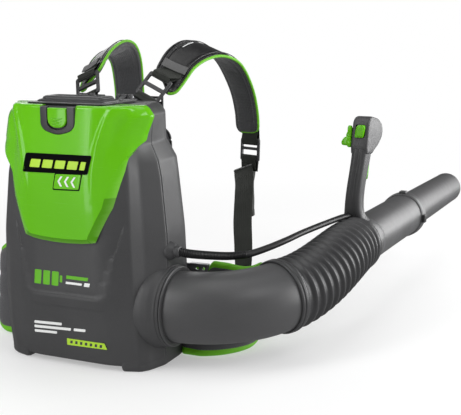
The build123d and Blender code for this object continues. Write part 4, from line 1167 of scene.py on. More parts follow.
def build_feet():
    """Moulded feet under the housing sides, and the low bar between them."""
    ring = ring_at(20.0, -0.4)
    parts = []
    for side, limit in ((1, 96.0), (-1, 94.0)):
        edge = np.array([p for p in ring if side * p[0] > limit and p[1] < 84.0])
        edge = edge[np.argsort(edge[:, 1])]
        y0, y1 = edge[0, 1], edge[-1, 1]
        outline = [tuple(p) for p in edge]
        outline += [(side * (limit + 3), y1), (side * limit, y1 - 6), (side * limit, y0 + 3)]
        centre = np.array(outline).mean(0)
        base = resample_closed(np.array(soft(outline, 2.5, 3)), 150)
        # z, scale of the outline about its centre
        levels = ((24.0, 0.985), (18.0, 1.0), (9.0, 0.997), (4.5, 0.988), (1.6, 0.968),
                  (0.4, 0.945), (0.05, 0.90))
        rings = [np.c_[centre + (base - centre) * k, np.full(len(base), z)] for z, k in levels]
        parts.append(loft("foot", rings, MAT["shell"], cap=True, sharp=50))
    bar = [(-118, -15), (118, -15), (118, 15), (-118, 15)]
    parts.append(prism("tie", bar, (0, 0, 0.1), XY, 7.6, MAT["shell"], r=1.5))
    put(join("feet_v", parts), "housing", "rubber_black", "feet")


build_latch_bezel()
build_latch()
build_lid()
refine("hinge_bracket", 0.8, 2, MAT["dark"])
build_feet()

# ---------------------------------------------------------------- air path
OUTLET = np.array([0, 5.0, 105.0])
# profiles: distance along the axis, radius
SOCKET = [
    (119, 62), (119, 79), (134, 79), (146, 76.5), (154, 73.4), (158.5, 72.6), (159.6, 70.9),
    (161.4, 70.9), (162.2, 72.0), (165.2, 71.4), (165.6, 61.6), (150, 61.0),
]
SOCKET_RING = [(165.7, 63.3), (165.7, 69.6), (166.6, 71.0), (168.2, 71.0), (169.2, 69.2),
               (169.4, 63.3)]
put(lathe("outlet_socket_v", OUTLET, X, SOCKET, MAT["shell"], 128, 3.5, 5, sharp=50),
    "housing", "shell_grey", "outlet_socket")
put(lathe("socket_ring_v", OUTLET, X, SOCKET_RING, MAT["tube"], 128, 0.8, 3),
    "housing", "tube_grey", "socket_ring")

ELBOW_TILT, ELBOW_SWEEP = math.radians(5.0), math.radians(66.0)
ELBOW_BEND_R, ELBOW_START_X = 158.0, 168.0
ELBOW_OUTER_R, ELBOW_INNER_R = 63.0, 59.5


def elbow_at(angle):
    """Centre and direction of the elbow at this angle of its bend."""
    cos_t, sin_t = math.cos(ELBOW_TILT), math.sin(ELBOW_TILT)
    aside = ELBOW_BEND_R * (1 - math.cos(angle))
    centre = OUTLET + np.array([ELBOW_START_X + ELBOW_BEND_R * math.sin(angle),
                                aside * cos_t, aside * sin_t])
    sin_a = math.sin(angle)
    return centre, np.array([math.cos(angle), sin_a * cos_t, sin_a * sin_t])


ELBOW_END, ELBOW_DIR = elbow_at(ELBOW_SWEEP)


def build_elbow():
    line = [elbow_at(angle) for angle in np.linspace(0, ELBOW_SWEEP, 61)]
    line += [(ELBOW_END + ELBOW_DIR * along, ELBOW_DIR) for along in (5, 10, 15, 19.6)]
    # the stepped end inside the socket: x, radius
    spigot_outer = ((150.0, 59.6), (150.4, 60.3), (164.2, 60.4), (164.3, 62.9))
    spigot_inner = ((160.0, 56.8), (150.0, 56.8))
    stations = [(OUTLET + X * x, X, r) for x, r in spigot_outer]
    stations += [(c, d, ELBOW_OUTER_R) for c, d in line]
    stations += [(c, d, ELBOW_INNER_R) for c, d in line[::-1]]
    stations += [(OUTLET + X * x, X, r) for x, r in spigot_inner]
    put(pipe("elbow_tube_v", stations, MAT["tube"], 128, closed=True, sharp=45),
        "elbow", "tube_grey", "elbow_tube")
    cuff = [(3.6, 63.4), (3.6, 66.0), (5.2, 67.4), (8.5, 67.6), (9.6, 66.2), (11.0, 66.2),
            (12.0, 67.8), (17.0, 67.8), (19.4, 67.0), (19.8, 63.4)]
    put(lathe("hose_cuff_v", ELBOW_END, ELBOW_DIR, cuff, MAT["hose"], 128, 0.9, 3, sharp=50),
        "elbow", "rubber_black", "hose_cuff")


build_elbow()

TUBE_X, TUBE_Z = 367.0, 160.0
TUBE = (TUBE_X, 0, TUBE_Z)  # the tube's axis runs along Y
HOSE_START = ELBOW_END + ELBOW_DIR * 20.2
HOSE_END = np.array([TUBE_X, 373.0, TUBE_Z])
HOSE_PULL = np.linalg.norm(HOSE_END - HOSE_START) * 1.05
HOSE_R0, HOSE_R1, HOSE_WALL = 66.6, 54.9, 2.6


def hose_at(t):
    return (HOSE_START * (2 * t**3 - 3 * t**2 + 1) + ELBOW_DIR * HOSE_PULL * (t**3 - 2 * t**2 + t)
            + HOSE_END * (-2 * t**3 + 3 * t**2) + Y * HOSE_PULL * (t**3 - t**2))


def build_hose():
    """Bellows with narrow crests and wide hollows."""
    ribs, per_rib = 14, 14
    total = ribs * per_rib
    outer = []
    for i in range(total + 1):
        t = i / total
        direction = hose_at(min(t + 0.004, 1)) - hose_at(max(t - 0.004, 0))
        if i in (0, total):
            direction = Y if i else ELBOW_DIR
        hollow = 1 - abs(2 * (i % per_rib) / per_rib - 1)
        crest_r = HOSE_R0 + (HOSE_R1 - HOSE_R0) * t
        radius = crest_r - 5.8 * float(smooth_step(0.06, 0.72, hollow)) - 0.6 * hollow
        outer.append((hose_at(t), unit(direction), radius))
    inner = [(c, d, r - HOSE_WALL) for c, d, r in outer]
    hose = pipe("bellows_hose_v", outer + inner[::-1], MAT["hose"], 112, closed=True, sharp=80)
    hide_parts("bellows_hose")
    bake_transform(hose)


build_hose()

HOSE_CLAMP = [
    (373.3, 47.1), (373.3, 53.6), (374.2, 55.0), (377.6, 55.4), (378.4, 53.6), (379.6, 53.6),
    (380.4, 55.2), (383.2, 54.6), (384.8, 52.6), (384.8, 47.1),
]
CONTROL_TUBE = [
    (373.3, 42.5), (373.3, 46.9), (385.2, 46.9), (385.2, 49.6), (387, 50.2), (418, 49.9),
    (432, 46.8), (560, 46.4), (719, 46.6), (745, 46.5), (745, 42.5),
]
LOCK_RING = [(719, 46.7), (720.5, 49.0), (724, 50.4), (738, 51.2), (746, 50.8), (749.0, 48.4),
             (748.6, 43.6), (745.3, 42.7), (745.2, 46.6)]
NOZZLE = [
    (690, 38.6), (690, 42.1), (704, 42.3), (704, 41.1), (708, 41.1), (708, 42.3), (750, 42.3),
    (756, 42.5), (764, 40.9), (1000, 39.8), (1158, 38.8), (1163, 39.1), (1167.5, 39.1),
    (1169.6, 38.2), (1169.6, 36.9), (1166, 36.5), (1130, 36.5), (760, 38.2),
]
NOZZLE_ROUND = [0.6, 0.6, 0.2, 0.2, 0.2, 0.2, 1, 2, 6, 10, 3, 1.2, 1, 0.8, 0.6, 1, 5, 5]


def build_lock_ring():
    """Bell-shaped ring with lobes above and below."""
    stations = [(np.array([TUBE_X, along, TUBE_Z]), Y, radius)
                for along, radius in soft(LOCK_RING, 1.2, 3)]

    def shape(i, angles):
        centre, _, radius = stations[i]
        if radius < 47.5:
            return np.ones_like(angles)
        strength = max(0.0, 1 - abs(centre[1] - 738) / 16)
        return 1 + 0.030 * strength * np.clip(np.cos(2 * angles) ** 8, 0, 1)

    ring = pipe("tube_lock_ring_v", stations, MAT["tube"], 144, closed=True, shape=shape, sharp=45)
    put(ring, "handle_tube", "tube_grey", "tube_lock_ring")


put(lathe("hose_clamp_v", TUBE, Y, HOSE_CLAMP, MAT["hose"], 112, 0.5, 2, sharp=50),
    "handle_tube", "rubber_black", "hose_clamp")
put(lathe("control_tube_v", TUBE, Y, CONTROL_TUBE, MAT["tube"], 128,
          [0.5, 1, 0.5, 0.8, 2, 10, 10, 10, 3, 0.5, 0.5], 5, sharp=40),
    "handle_tube", "tube_grey", "control_tube")
build_lock_ring()
put(join("nozzle_catch_v", [
    prism("catch_top", rounded_rect(16, 18, 3, 5, TUBE_X, 733), (0, 0, TUBE_Z + 50.0), XY, 5.2,
          MAT["tube"], r=1.6),
    prism("catch_side", rounded_rect(17, 18, 2.5, 5, 728, TUBE_Z - 4), (TUBE_X + 48.5, 0, 0), YZ,
          7.0, MAT["black"], r=1.2),
]), "handle_tube", "black_plastic", "nozzle_catch")
put(lathe("nozzle_v", TUBE, Y, NOZZLE, MAT["tube"], 128, NOZZLE_ROUND, 4, sharp=45),
    "nozzle", "tube_grey", "nozzle")

# ---------------------------------------------------------------- control handle
# neck sections: z, y centre, width, depth, corner radius, groove depth
NECK = np.array([
    (186.0, 410.0, 82.0, 50.0, 24.0, 0.0), (197.0, 408.5, 68.0, 47.0, 22.0, 0.0),
    (204.0, 406.0, 54.0, 42.0, 19.0, 0.1), (211.0, 402.5, 44.5, 38.5, 16.0, 0.4),
    (219.0, 398.5, 38.5, 37.0, 14.0, 1.2), (230.0, 395.2, 35.0, 36.5, 13.0, 2.2),
    (250.0, 393.6, 32.6, 37.0, 12.0, 2.8), (275.0, 395.2, 31.4, 38.5, 11.5, 2.8),
    (300.0, 399.4, 31.0, 40.0, 11.5, 2.8), (320.0, 404.4, 31.4, 41.6, 11.5, 2.6),
    (334.0, 408.4, 32.0, 43.0, 12.0, 1.8), (346.0, 412.0, 32.6, 45.0, 12.0, 0.4),
    (354.0, 413.0, 31.0, 42.0, 12.0, 0.0),
])
# outlines in (y, z)
HEAD = [(392, 338), (390, 352), (402, 402), (410, 410), (424, 412), (470, 404), (492, 392),
        (498, 380), (494, 364), (470, 350), (444, 342), (430, 336)]
TRIGGER = [(426, 338), (434, 338), (439.2, 330), (438.2, 308), (432.5, 292), (428, 284.8),
           (423, 285), (425, 292), (429, 306), (428, 322), (423, 332)]
LEVER = [(414, 377), (406, 392.5), (402, 395), (397.5, 392.5), (395.5, 384), (400, 376.5),
         (402, 370), (396.5, 366), (393.2, 359), (395.5, 351.8), (402, 350.5), (409, 356),
         (413, 366)]
# outlines in (x from the tube's axis, z)
LOWER_LOBE = [(-37.5, 355.0), (-24.0, 354.2), (-18.5, 358), (-18.5, 372), (-27.0, 373.4),
              (-33.5, 370.5), (-38.8, 362)]
UPPER_LOBE = [(-28.5, 371.0), (-18.6, 370.0), (-18.6, 388.5), (-22.0, 388.0), (-27.4, 382.0),
              (-29.8, 375)]
BUTTON = [(-10.2, 371.8), (7.6, 371.8), (10.2, 391), (9, 396.2), (-4.6, 396.2), (-7.0, 391)]
BUTTON_FACE = [(-7.6, 374.0), (5.4, 374.0), (7.8, 390.4), (6.8, 394.0), (-3.2, 394.0),
               (-5.2, 390.4)]
PIVOT_Y, PIVOT_Z = 420.0, 372.0


def cubic_at(xs, ys, x):
    """Catmull-Rom over uneven knots."""
    last = len(xs) - 1
    i = int(np.clip(np.searchsorted(xs, x) - 1, 0, last - 1))
    span = xs[i + 1] - xs[i]
    t = (x - xs[i]) / span

    def slope(k):
        a, b = max(k - 1, 0), min(k + 1, last)
        return (ys[b] - ys[a]) / (xs[b] - xs[a]) * span

    return ((2 * t**3 - 3 * t**2 + 1) * ys[i] + (t**3 - 2 * t**2 + t) * slope(i)
            + (-2 * t**3 + 3 * t**2) * ys[i + 1] + (t**3 - t**2) * slope(i + 1))


def neck_rings():
    count = 120
    rings = []
    for z in np.concatenate([np.linspace(186, 232, 20)[:-1], np.linspace(232, 354, 34)]):
        y, width, depth, corner, groove = [cubic_at(NECK[:, 0], NECK[:, k], z)
                                           for k in range(1, 6)]
        ring = resample_closed(np.array(rounded_rect(width, depth, corner, 9)), count)
        # shallow channels down the -Y face and both sides
        back = ring[:, 1] < -depth / 2 + 3
        ring[back, 1] += groove * np.exp(-((ring[back, 0] - 0.5) / 4.2) ** 2)
        side = np.abs(ring[:, 0]) > width / 2 - 2.5
        dip = 0.35 * groove * np.exp(-((ring[side, 1] + 1.0) / 5.0) ** 2)
        ring[side, 0] -= np.sign(ring[side, 0]) * dip
        lean = 1 - float(smooth_step(222, 350, z))
        lean *= -8.0 * float(smooth_step(190, 216, z))
        rings.append(np.stack([TUBE_X + lean + ring[:, 0], y + ring[:, 1], np.full(count, z)], 1))
    return rings


def half_of(obj, right, name):
    """Copy of the part on one side of the tube's axis, capped at the cut."""
    gap = 0.12 if right else -0.12
    mesh = obj.data.copy()
    bm = bmesh.new()
    bm.from_mesh(mesh)
    bmesh.ops.bisect_plane(
        bm, geom=list(bm.verts) + list(bm.edges) + list(bm.faces),
        plane_co=Vector(((TUBE_X + gap) * MM, 0, 0)), plane_no=Vector((1, 0, 0)),
        clear_inner=right, clear_outer=not right)
    bmesh.ops.holes_fill(bm, edges=[e for e in bm.edges if e.is_boundary], sides=0)
    bmesh.ops.recalc_face_normals(bm, faces=bm.faces)
    bm.to_mesh(mesh)
    bm.free()
    half = new_object(name, mesh)
    shade(mesh)
    return half


def build_grip():
    shell = MAT["shell"]
    neck = loft("neck", neck_rings(), shell, cap=True, sharp=50)
    saddle = [(0, 0.01), (130, 0.01), (130, 46.0), (0, 46.0)]
    cut(neck, lathe("saddle", (TUBE_X, 330, TUBE_Z), Y, saddle, shell, 96), 50)
    width = 35.0
    head = prism("head", HEAD, (TUBE_X - width / 2, 0, 0), YZ, width, shell, r=5.5, n=5,
                 corner=[5, 5, 5, 8, 6, 10, 8, 8, 10, 8, 6, 4], sharp=42)
    pocket = rounded_rect(21.2, 25.2, 5.2, 6, TUBE_X, 384)
    cut(head, prism("pocket", pocket, (0, 408, 0), XZ, 40, shell, r=0.01, n=1), 42)
    for right in (False, True):
        tag = "right" if right else "left"
        halves = [half_of(neck, right, "neck_half"), half_of(head, right, "head_half")]
        put(join(f"grip_{tag}_v", halves), "handle_tube", "black_plastic", "grip_" + tag)
    bpy.data.objects.remove(neck)
    bpy.data.objects.remove(head)


def build_controls():
    green, soft_green = MAT["green"], MAT["green_soft"]
    put(join("turbo_button_v", [
        prism("button", BUTTON, (TUBE_X, 405.5, 0), XZ, 14.2, green, r=1.5, n=4, corner=3.5),
        prism("button_face", BUTTON_FACE, (TUBE_X, 394.0, 0), XZ, 4.0, soft_green, r=1.2,
              corner=2.6),
    ]), "button", "green_gloss", "turbo_button")
    width = 17.0
    trigger = prism("trigger_v", TRIGGER, (TUBE_X - width / 2, 0, 0), YZ, width, green, r=3.0,
                    n=4, corner=[3, 4, 6, 10, 8, 2, 2, 6, 10, 6, 3], sharp=42)
    put(trigger, "trigger", "green_gloss", "trigger")

    def pivot(name, offset, profile, mat, seg, *rounding):
        return lathe(name, (TUBE_X + offset, PIVOT_Y, PIVOT_Z), X, profile, mat, seg, *rounding)

    put(join("cruise_lever_v", [
        prism("lobe", LOWER_LOBE, (TUBE_X, 410.5, 0), XZ, 15.5, green, r=3.0, n=4, corner=5,
              sharp=45),
        prism("lobe", UPPER_LOBE, (TUBE_X, 409.5, 0), XZ, 12.0, green, r=2.6, n=4, corner=4,
              sharp=45),
        prism("lever", LEVER, (TUBE_X - 26.3, 0, 0), YZ, 8.2, green, r=2.6, n=4,
              corner=[4, 4, 4, 4, 5, 4, 6, 5, 5, 4, 4, 5, 5], sharp=45),
        pivot("hub", -26.6, [(0, 0.01), (0, 7.6), (1.2, 9.0), (7.0, 9.0), (8.0, 8.2),
                             (8.0, 0.01)], green, 48, 0.4, 2),
        pivot("axle", -19.0, [(0, 0.01), (0, 3.0), (8, 3.0), (8, 0.01)], green, 24),
        pivot("pin", -27.2, [(0, 0.01), (0.0, 2.6), (0.7, 3.4), (3.0, 3.4), (3.0, 0.01)],
              MAT["dark"], 32, 0.3, 2),
    ]), "cruise", "green_gloss", "cruise_lever")


build_grip()
build_controls()

# ---------------------------------------------------------------- cable
GLAND = [
    (139, 6.7), (139, 16.0), (146, 17.4), (158, 17.0), (163.5, 13.6), (166, 11.6), (167.0, 10.2),
    (168.2, 10.2), (169, 10.9), (173.5, 10.2), (175.5, 9.0), (176, 6.7),
]
CONDUIT_PATH = [(164, -1, 204.5), (173.3, -0.4, 204.2), (187, 12, 199.5), (207, 46, 191.5),
                (230, 84, 184.6), (254, 112, 184)]
CABLE_PATH = [
    (252, 110, 184.1), (255, 113.4, 184.4), (268, 133, 188.0), (283, 157, 193.5),
    (299, 188, 200.5), (311, 222, 206.5), (322, 262, 210.5), (332, 300, 213.5),
    (343, 350, 216.0), (350, 374, 217.0), (357, 392, 218.5),
]


def build_conduit():
    """Ribbed sleeve round the start of the cable."""
    bore = 4.7
    line, dist = curve_points(CONDUIT_PATH, 0.62)
    dirs = directions(line)
    stations = []
    for p, d, along in zip(line, dirs, dist):
        if 6 < along < dist[-1] - 7:
            groove = 0.60 < (along / 3.1) % 1.0 < 0.98
            radius = 8.0 - 1.3 * groove
        else:
            radius = 7.6
        stations.append((p, d, radius - 0.8 * along / dist[-1]))
    stations.append((line[-1], dirs[-1], bore))
    stations += [(p, d, bore) for p, d in zip(line, dirs)][::-12]
    stations.append((line[0], dirs[0], bore))
    conduit = pipe("cable_conduit_v", stations, MAT["cable"], 28, closed=True, sharp=40)
    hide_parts("cable_conduit")
    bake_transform(conduit)


def build_cable():
    line, dist = curve_points(CABLE_PATH, 3.0)
    stations = [(p, d, 6.4 - 0.7 * min(1.0, along / 120.0))
                for p, d, along in zip(line, directions(line), dist)]
    cable = pipe("control_cable_v", stations, MAT["cable"], 28, cap=True, sharp=60)
    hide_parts("control_cable")
    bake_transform(cable)


put(lathe("cable_gland_v", (0, -1.0, 204.5), X, GLAND, MAT["shell"], 72,
          [0.5, 0.5, 3.0, 4.0, 2, 1.5, 0.4, 0.4, 0.8, 1.5, 1, 0.4], 5, sharp=50),
    "housing", "black_plastic", "cable_gland")
build_conduit()
build_cable()


# ---------------------------------------------------------------- harness tools
def path_frames(points, across, step, *columns):
    """Resampled path: centres, distances, across and normal vectors, then extra columns."""
    line, dist = curve_points(points, step)
    knots = [dist[int(np.argmin(np.linalg.norm(line - np.asarray(p, float), axis=1)))]
             for p in points]
    side = np.stack([np.interp(dist, knots, column) for column in np.array(across, float).T], 1)
    along = directions(line)
    side = side - along * np.sum(side * along, axis=1)[:, None]
    side /= np.linalg.norm(side, axis=1)[:, None]
    extra = [np.interp(dist, knots, np.asarray(column, float)) for column in columns]
    return (line, dist, side, np.cross(side, along), *extra)


def band(name, points, across, width, thick, mat, step, curl=0.0, wave=0.0, flip=False,
         taper=1.0):
    """Flat strap with slightly thicker woven edges; flip mirrors it to the left."""
    line, dist, side, normal = path_frames(points, across, step)
    xs = np.linspace(-1, 1, 15)
    half = thick / 2 * (1 + 0.25 * (np.abs(xs) > 0.86)) * np.where(np.abs(xs) > 0.99, 0.35, 1.0)
    rings = []
    for p, q, w, n in zip(line, dist, side, normal):
        reach = width / 2 * (1 + 0.006 * math.sin(q * 0.9)) * (1 + (taper - 1) * q / dist[-1])
        drift = wave * (math.sin(q / 17.0) + 0.5 * math.sin(q / 7.3 + 1.0))
        rise = curl * xs**2 + 0.25 * wave * np.sin(xs * 2.4 + q / 23.0)
        top = p + np.outer(xs * reach, w) + np.outer(half + rise + drift, n)
        under = p + np.outer(xs * reach, w) + np.outer(-half + rise + drift, n)
        rings.append(np.concatenate([top, under[::-1]]))
    rings = np.array(rings)
    if flip:
        rings[:, :, 0] *= -1
    return loft(name, rings, mat, cap=True, sharp=60, weld=False)


def spread_columns(count, seams):
    """Positions from -1 to 1, closer at the sides, and the column of each seam."""
    even = np.linspace(-1, 1, count)
    xs = np.sin(even * math.pi / 2) * 0.35 + even * 0.65
    columns = {}
    for seam in seams:
        j = int(np.argmin(np.abs(xs - seam)))
        xs[j] = seam
        columns[seam] = j
    return xs, columns


class Cushion:
    """Padded strip along a path.

    Columns 0..count-1 are the face towards the normal, the rest the face behind it.
    low and high are its sides, seams the stitched columns, cross the distances of cross seams.
    """

    def __init__(self, name, path, low, high, thick, mats, pick, count, power, seams, cross=(),
                 flip=False, warp=None):
        mid, dist, across, normal = path
        xs, self.seams = spread_columns(count, seams)
        rows = len(mid)
        rings = np.zeros((rows, 2 * count, 3))
        dome = np.maximum((1 - np.abs(xs) ** power) ** (1 / power), 0.0)
        self.pins = set()
        for i in range(rows):
            centre, half = (low[i] + high[i]) / 2, (high[i] - low[i]) / 2
            dip = np.ones(count)
            for seam in seams:
                dip *= 1 - 0.30 * np.exp(-(((xs - seam) * half) / 2.2) ** 2)
            row_dip = 1.0
            for c in cross:
                row_dip *= 1 - 0.30 * math.exp(-((dist[i] - c) / 2.6) ** 2)
            height = np.maximum(thick[i] / 2 * dome * dip * row_dip, 0.25)
            flat = mid[i] + np.outer(centre + xs * half, across[i])
            rings[i, :count] = flat + np.outer(height, normal[i])
            rings[i, count:] = (flat - np.outer(height, normal[i]))[::-1]
            pin_row = i in (0, rows - 1)
            pin_row |= any(abs(dist[i] - c) < (dist[1] - dist[0]) * 0.6 for c in cross)
            for j in range(count):
                if pin_row or j in (0, count - 1) or j in self.seams.values():
                    self.pins.add(i * 2 * count + j)
                    self.pins.add(i * 2 * count + 2 * count - 1 - j)
        if flip:
            rings[:, :, 0] *= -1
            mirror = np.array([-1, 1, 1])
            mid, across, normal = mid * mirror, across * mirror, normal * mirror
        if warp:
            rings = warp(rings)
        self.mid, self.across, self.normal = mid, across, normal
        self.low, self.high, self.thick = low, high, thick
        self.count = count
        self.obj = loft(name, rings, mats, cap=True, pick=pick, sharp=75, weld=False)

    def rim(self, shift, grow):
        """Closed line round the edge."""
        lift = self.normal * shift
        a = self.mid + self.across * (self.high + grow)[:, None] + lift
        b = self.mid + self.across * (self.low - grow)[:, None] + lift
        # extra points straight across both ends
        shares = np.linspace(0, 1, 12)[1:-1]
        end = [a[-1] + (b[-1] - a[-1]) * t for t in shares]
        start = [b[0] + (a[0] - b[0]) * t for t in shares]
        line = np.concatenate([a, np.array(end), b[::-1], np.array(start)])
        for _ in range(3):
            line = (np.roll(line, 1, 0) + 2 * line + np.roll(line, -1, 0)) / 4
        return line

    def stitch(self, name, radius, pitch, trim, both_faces=True, rear_radius=None):
        """Thread along every seam, leaving out trim rows at each end."""
        points = np.array([v.co[:] for v in self.obj.data.vertices]) / MM
        points = points.reshape(-1, 2 * self.count, 3)
        parts = []
        for j in self.seams.values():
            normal = self.normal[trim:-trim]
            parts.append(stitches(points[trim:-trim, j], normal, radius, pitch))
            if both_faces:
                line = points[trim:-trim, 2 * self.count - 1 - j]
                parts.append(stitches(line, -normal, rear_radius or radius, pitch))
        put(join(name, parts), "housing", "pad_fabric")

    def finish(self, node):
        """Subdivide the cushion and put it in place."""
        mod = self.obj.modifiers.new("sub", "SUBSURF")
        mod.levels = mod.render_levels = 1
        self.obj.data = bake(self.obj)
        for face in self.obj.data.polygons:
            face.use_smooth = True
        put(self.obj, "housing", "pad_fabric", node)


def puff(cushions):
    """Blow up all cushions in one cloth run, each point moved by a limited way."""
    frames, move_limit = 20, 4.0 * MM
    rest = []
    for cushion in cushions:
        obj = cushion.obj
        obj.vertex_groups.new(name="pin").add(sorted(cushion.pins), 1.0, "REPLACE")
        mod = obj.modifiers.new("Cloth", "CLOTH")
        cloth_settings = {
            "quality": 5, "mass": 0.3, "tension_stiffness": 12, "compression_stiffness": 12,
            "shear_stiffness": 4, "bending_stiffness": 0.3, "tension_damping": 8,
            "compression_damping": 8, "vertex_group_mass": "pin", "use_pressure": True,
            "uniform_pressure_force": 4.0,
        }
        for key, value in cloth_settings.items():
            setattr(mod.settings, key, value)
        mod.settings.effector_weights.gravity = 0
        mod.collision_settings.use_collision = False
        mod.point_cache.frame_start, mod.point_cache.frame_end = 1, frames
        rest.append(np.array([v.co[:] for v in obj.data.vertices]))
    for number in range(1, frames + 1):
        scene.frame_set(number)
    depsgraph = bpy.context.evaluated_depsgraph_get()
    for cushion, start in zip(cushions, rest):
        obj = cushion.obj
        moved = np.array([v.co[:] for v in obj.evaluated_get(depsgraph).data.vertices]) - start
        length = np.linalg.norm(moved, axis=1)
        scale = move_limit * np.tanh(length / move_limit) / np.maximum(length, 1e-9)
        out = start + moved * scale[:, None]
        obj.modifiers.clear()
        obj.vertex_groups.clear()
        obj.data.vertices.foreach_set("co", out.astype(np.float32).ravel())
        obj.data.update()
    scene.frame_set(1)


def stitches(line, normals, radius, pitch):
    """Short thread dashes standing a little out of the surface."""
    skip, sides = 3, 6
    dist = np.r_[0, np.cumsum(np.linalg.norm(np.diff(line, axis=0), axis=1))]

    def at(table, where):
        return np.array([np.interp(where, dist, column) for column in table.T])

    # distance along the dash, height of its centre
    dash = ((0.0, -0.5), (0.7, 0.25), (pitch * 0.62 - 0.7, 0.25), (pitch * 0.62, -0.5))
    verts, faces = [], []
    start = skip * pitch
    while start < dist[-1] - skip * pitch:
        rings = []
        for along, lift in dash:
            p = at(line, start + along)
            n = unit(at(normals, start + along))
            side = unit(np.cross(unit(at(line, start + along + 1) - p), n))
            rings.append(len(verts))
            for a in np.linspace(0, 2 * math.pi, sides, endpoint=False):
                verts.append(p + n * (lift + radius * math.sin(a))
                             + side * radius * 1.25 * math.cos(a))
        for a, b in zip(rings[:-1], rings[1:]):
            for j in range(sides):
                k = (j + 1) % sides
                faces.append((a + j, b + j, b + k, a + k))
        faces.append(tuple(rings[0] + j for j in range(sides)))
        faces.append(tuple(rings[-1] + sides - 1 - j for j in range(sides)))
        start += pitch
    return add_mesh("st", verts, faces, MAT["thread"], sharp=60, weld=False)


def piping(name, line, radius, mats, slot, pick=None):
    stations = [(p, d, radius) for p, d in zip(line, directions(line, True))]
    put(pipe(name, stations, mats, 14, closed=True, sharp=80, pick=pick), "housing", slot)


def end_round(dist, radius):
    """How far a round end cuts in, and the nearness to the end, both from 0 to 1."""
    near = np.clip((radius - np.minimum(dist, dist[-1] - dist)) / radius, 0, 1)
    return 1 - np.sqrt(np.maximum(0, 1 - near**2)), near


# ---------------------------------------------------------------- shoulder pads
# right pad, from the housing over the shoulder: centre, across vector, width, thickness
SHOULDER = [
    ((77, 115, 474), (0.80, 0.1, -0.54), 58, 10),
    ((84, 138, 496), (0.80, 0.1, -0.54), 60, 12),
    ((88, 176, 526), (0.84, 0.0, -0.52), 66, 13),
    ((94, 226, 542), (0.875, -0.05, -0.46), 71, 14),
    ((105, 276, 539), (0.92, -0.15, -0.33), 71, 14),
    ((118, 320, 514), (0.96, -0.2, -0.15), 67, 14),
    ((130, 350, 466), (0.96, -0.28, 0.0), 64, 13),
    ((136, 363, 420), (0.95, -0.3, 0.0), 63, 12),
    ((138.5, 366, 375), (0.95, -0.3, 0.0), 62, 11),
]
SHOULDER_END_R = 9.0
SHOULDER_COUNT = 23
sp_points, sp_across, sp_widths, sp_thicks = zip(*SHOULDER)
*pad_path, pad_width, pad_thick = path_frames(sp_points, sp_across, 4.6, sp_widths, sp_thicks)
pad_mid, pad_dist, pad_across, pad_normal = pad_path
cut_in, nearness = end_round(pad_dist, SHOULDER_END_R)
pad_high = pad_width / 2 - 2.6 - cut_in * SHOULDER_END_R
# the neck side starts cut away
pad_low = np.maximum(-pad_high, np.interp(pad_dist, [0, 12, 36], [12.0, 6.0, -40.0]))
pad_thick = pad_thick * (1 - 0.50 * nearness**2) * 0.94
shoulder_pads = {
    tag: Cushion(f"shoulder_pad_{tag}_v", pad_path, pad_low, pad_high, pad_thick,
                 [MAT["satin"], MAT["mesh"]], lambda i, j: 0 if j < SHOULDER_COUNT - 1 else 1,
                 count=SHOULDER_COUNT, power=3.2, seams=(-0.74, 0.74),
                 cross=(pad_dist[13], pad_dist[-7]), flip=tag == "left")
    for tag in ("right", "left")
}

# ---------------------------------------------------------------- back pad
back_z = np.arange(210.0, 410.1, 5.0)
back_dist = back_z - back_z[0]
back_mid = np.stack([np.zeros_like(back_z), np.full_like(back_z, 119.2), back_z], 1)
BACK_END_R, BACK_COUNT = 30.0, 25
cut_in, nearness = end_round(back_dist, BACK_END_R)
back_half = 94.0 - cut_in * BACK_END_R
back_pad = Cushion(
    "back_pad_v", (back_mid, back_dist, np.tile(X, (len(back_z), 1)), np.tile(Y, (len(back_z), 1))),
    -back_half, back_half, 20.0 * (1 - 0.5 * nearness**3), [MAT["mesh"], MAT["pad"]],
    lambda i, j: 0 if j < BACK_COUNT - 1 else 1, count=BACK_COUNT, power=5.0,
    seams=(-0.33, 0.33), cross=(50.0, 100.0, 150.0))

# ---------------------------------------------------------------- hip pad
# path from left to right: x, y
HIP = [
    (-290, 132), (-285, 110), (-260, 98), (-222, 97), (-186, 105), (-140, 119), (-60, 121),
    (60, 121), (136, 118), (164, 112), (192, 104), (216, 111), (233, 130), (241, 160), (243, 215),
]
HIP_TOP, HIP_END_R, HIP_COUNT = 181.0, 16.0, 27
HIP_TRIM = 0.86  # the trim covers the columns beyond this
HIP_SEAMS = (-HIP_TRIM, -0.28, 0.28, HIP_TRIM)
hip_path = path_frames([(x, y, 0.0) for x, y in HIP], [Z] * len(HIP), 5.0)
hip_x, hip_dist = hip_path[0][:, 0], hip_path[1]


def hip_edges():
    """Lower and upper heights along the pad."""
    low = np.where(hip_x < -270, np.interp(hip_x, [-320, -270], [30, 0]), 0.0)
    low = np.maximum(low, np.interp(hip_dist, [hip_dist[-1] - 60, hip_dist[-1]], [0, 30]))
    high = np.full_like(hip_x, HIP_TOP)
    right = np.interp(hip_x, [150, 190, 216, 241, 300], [HIP_TOP, 168, 166, 152, 120])
    high = np.where(hip_x > 150, right, high)
    high = np.where(hip_x < -240, np.interp(hip_x, [-320, -240], [130, HIP_TOP]), high)
    inset = end_round(hip_dist, HIP_END_R)[0] * HIP_END_R
    low = np.maximum(low, 1.5) + inset
    high = high - inset
    for _ in range(4):
        for edge in (low, high):
            edge[1:-1] = (edge[:-2] + 2 * edge[1:-1] + edge[2:]) / 4
    return low, high


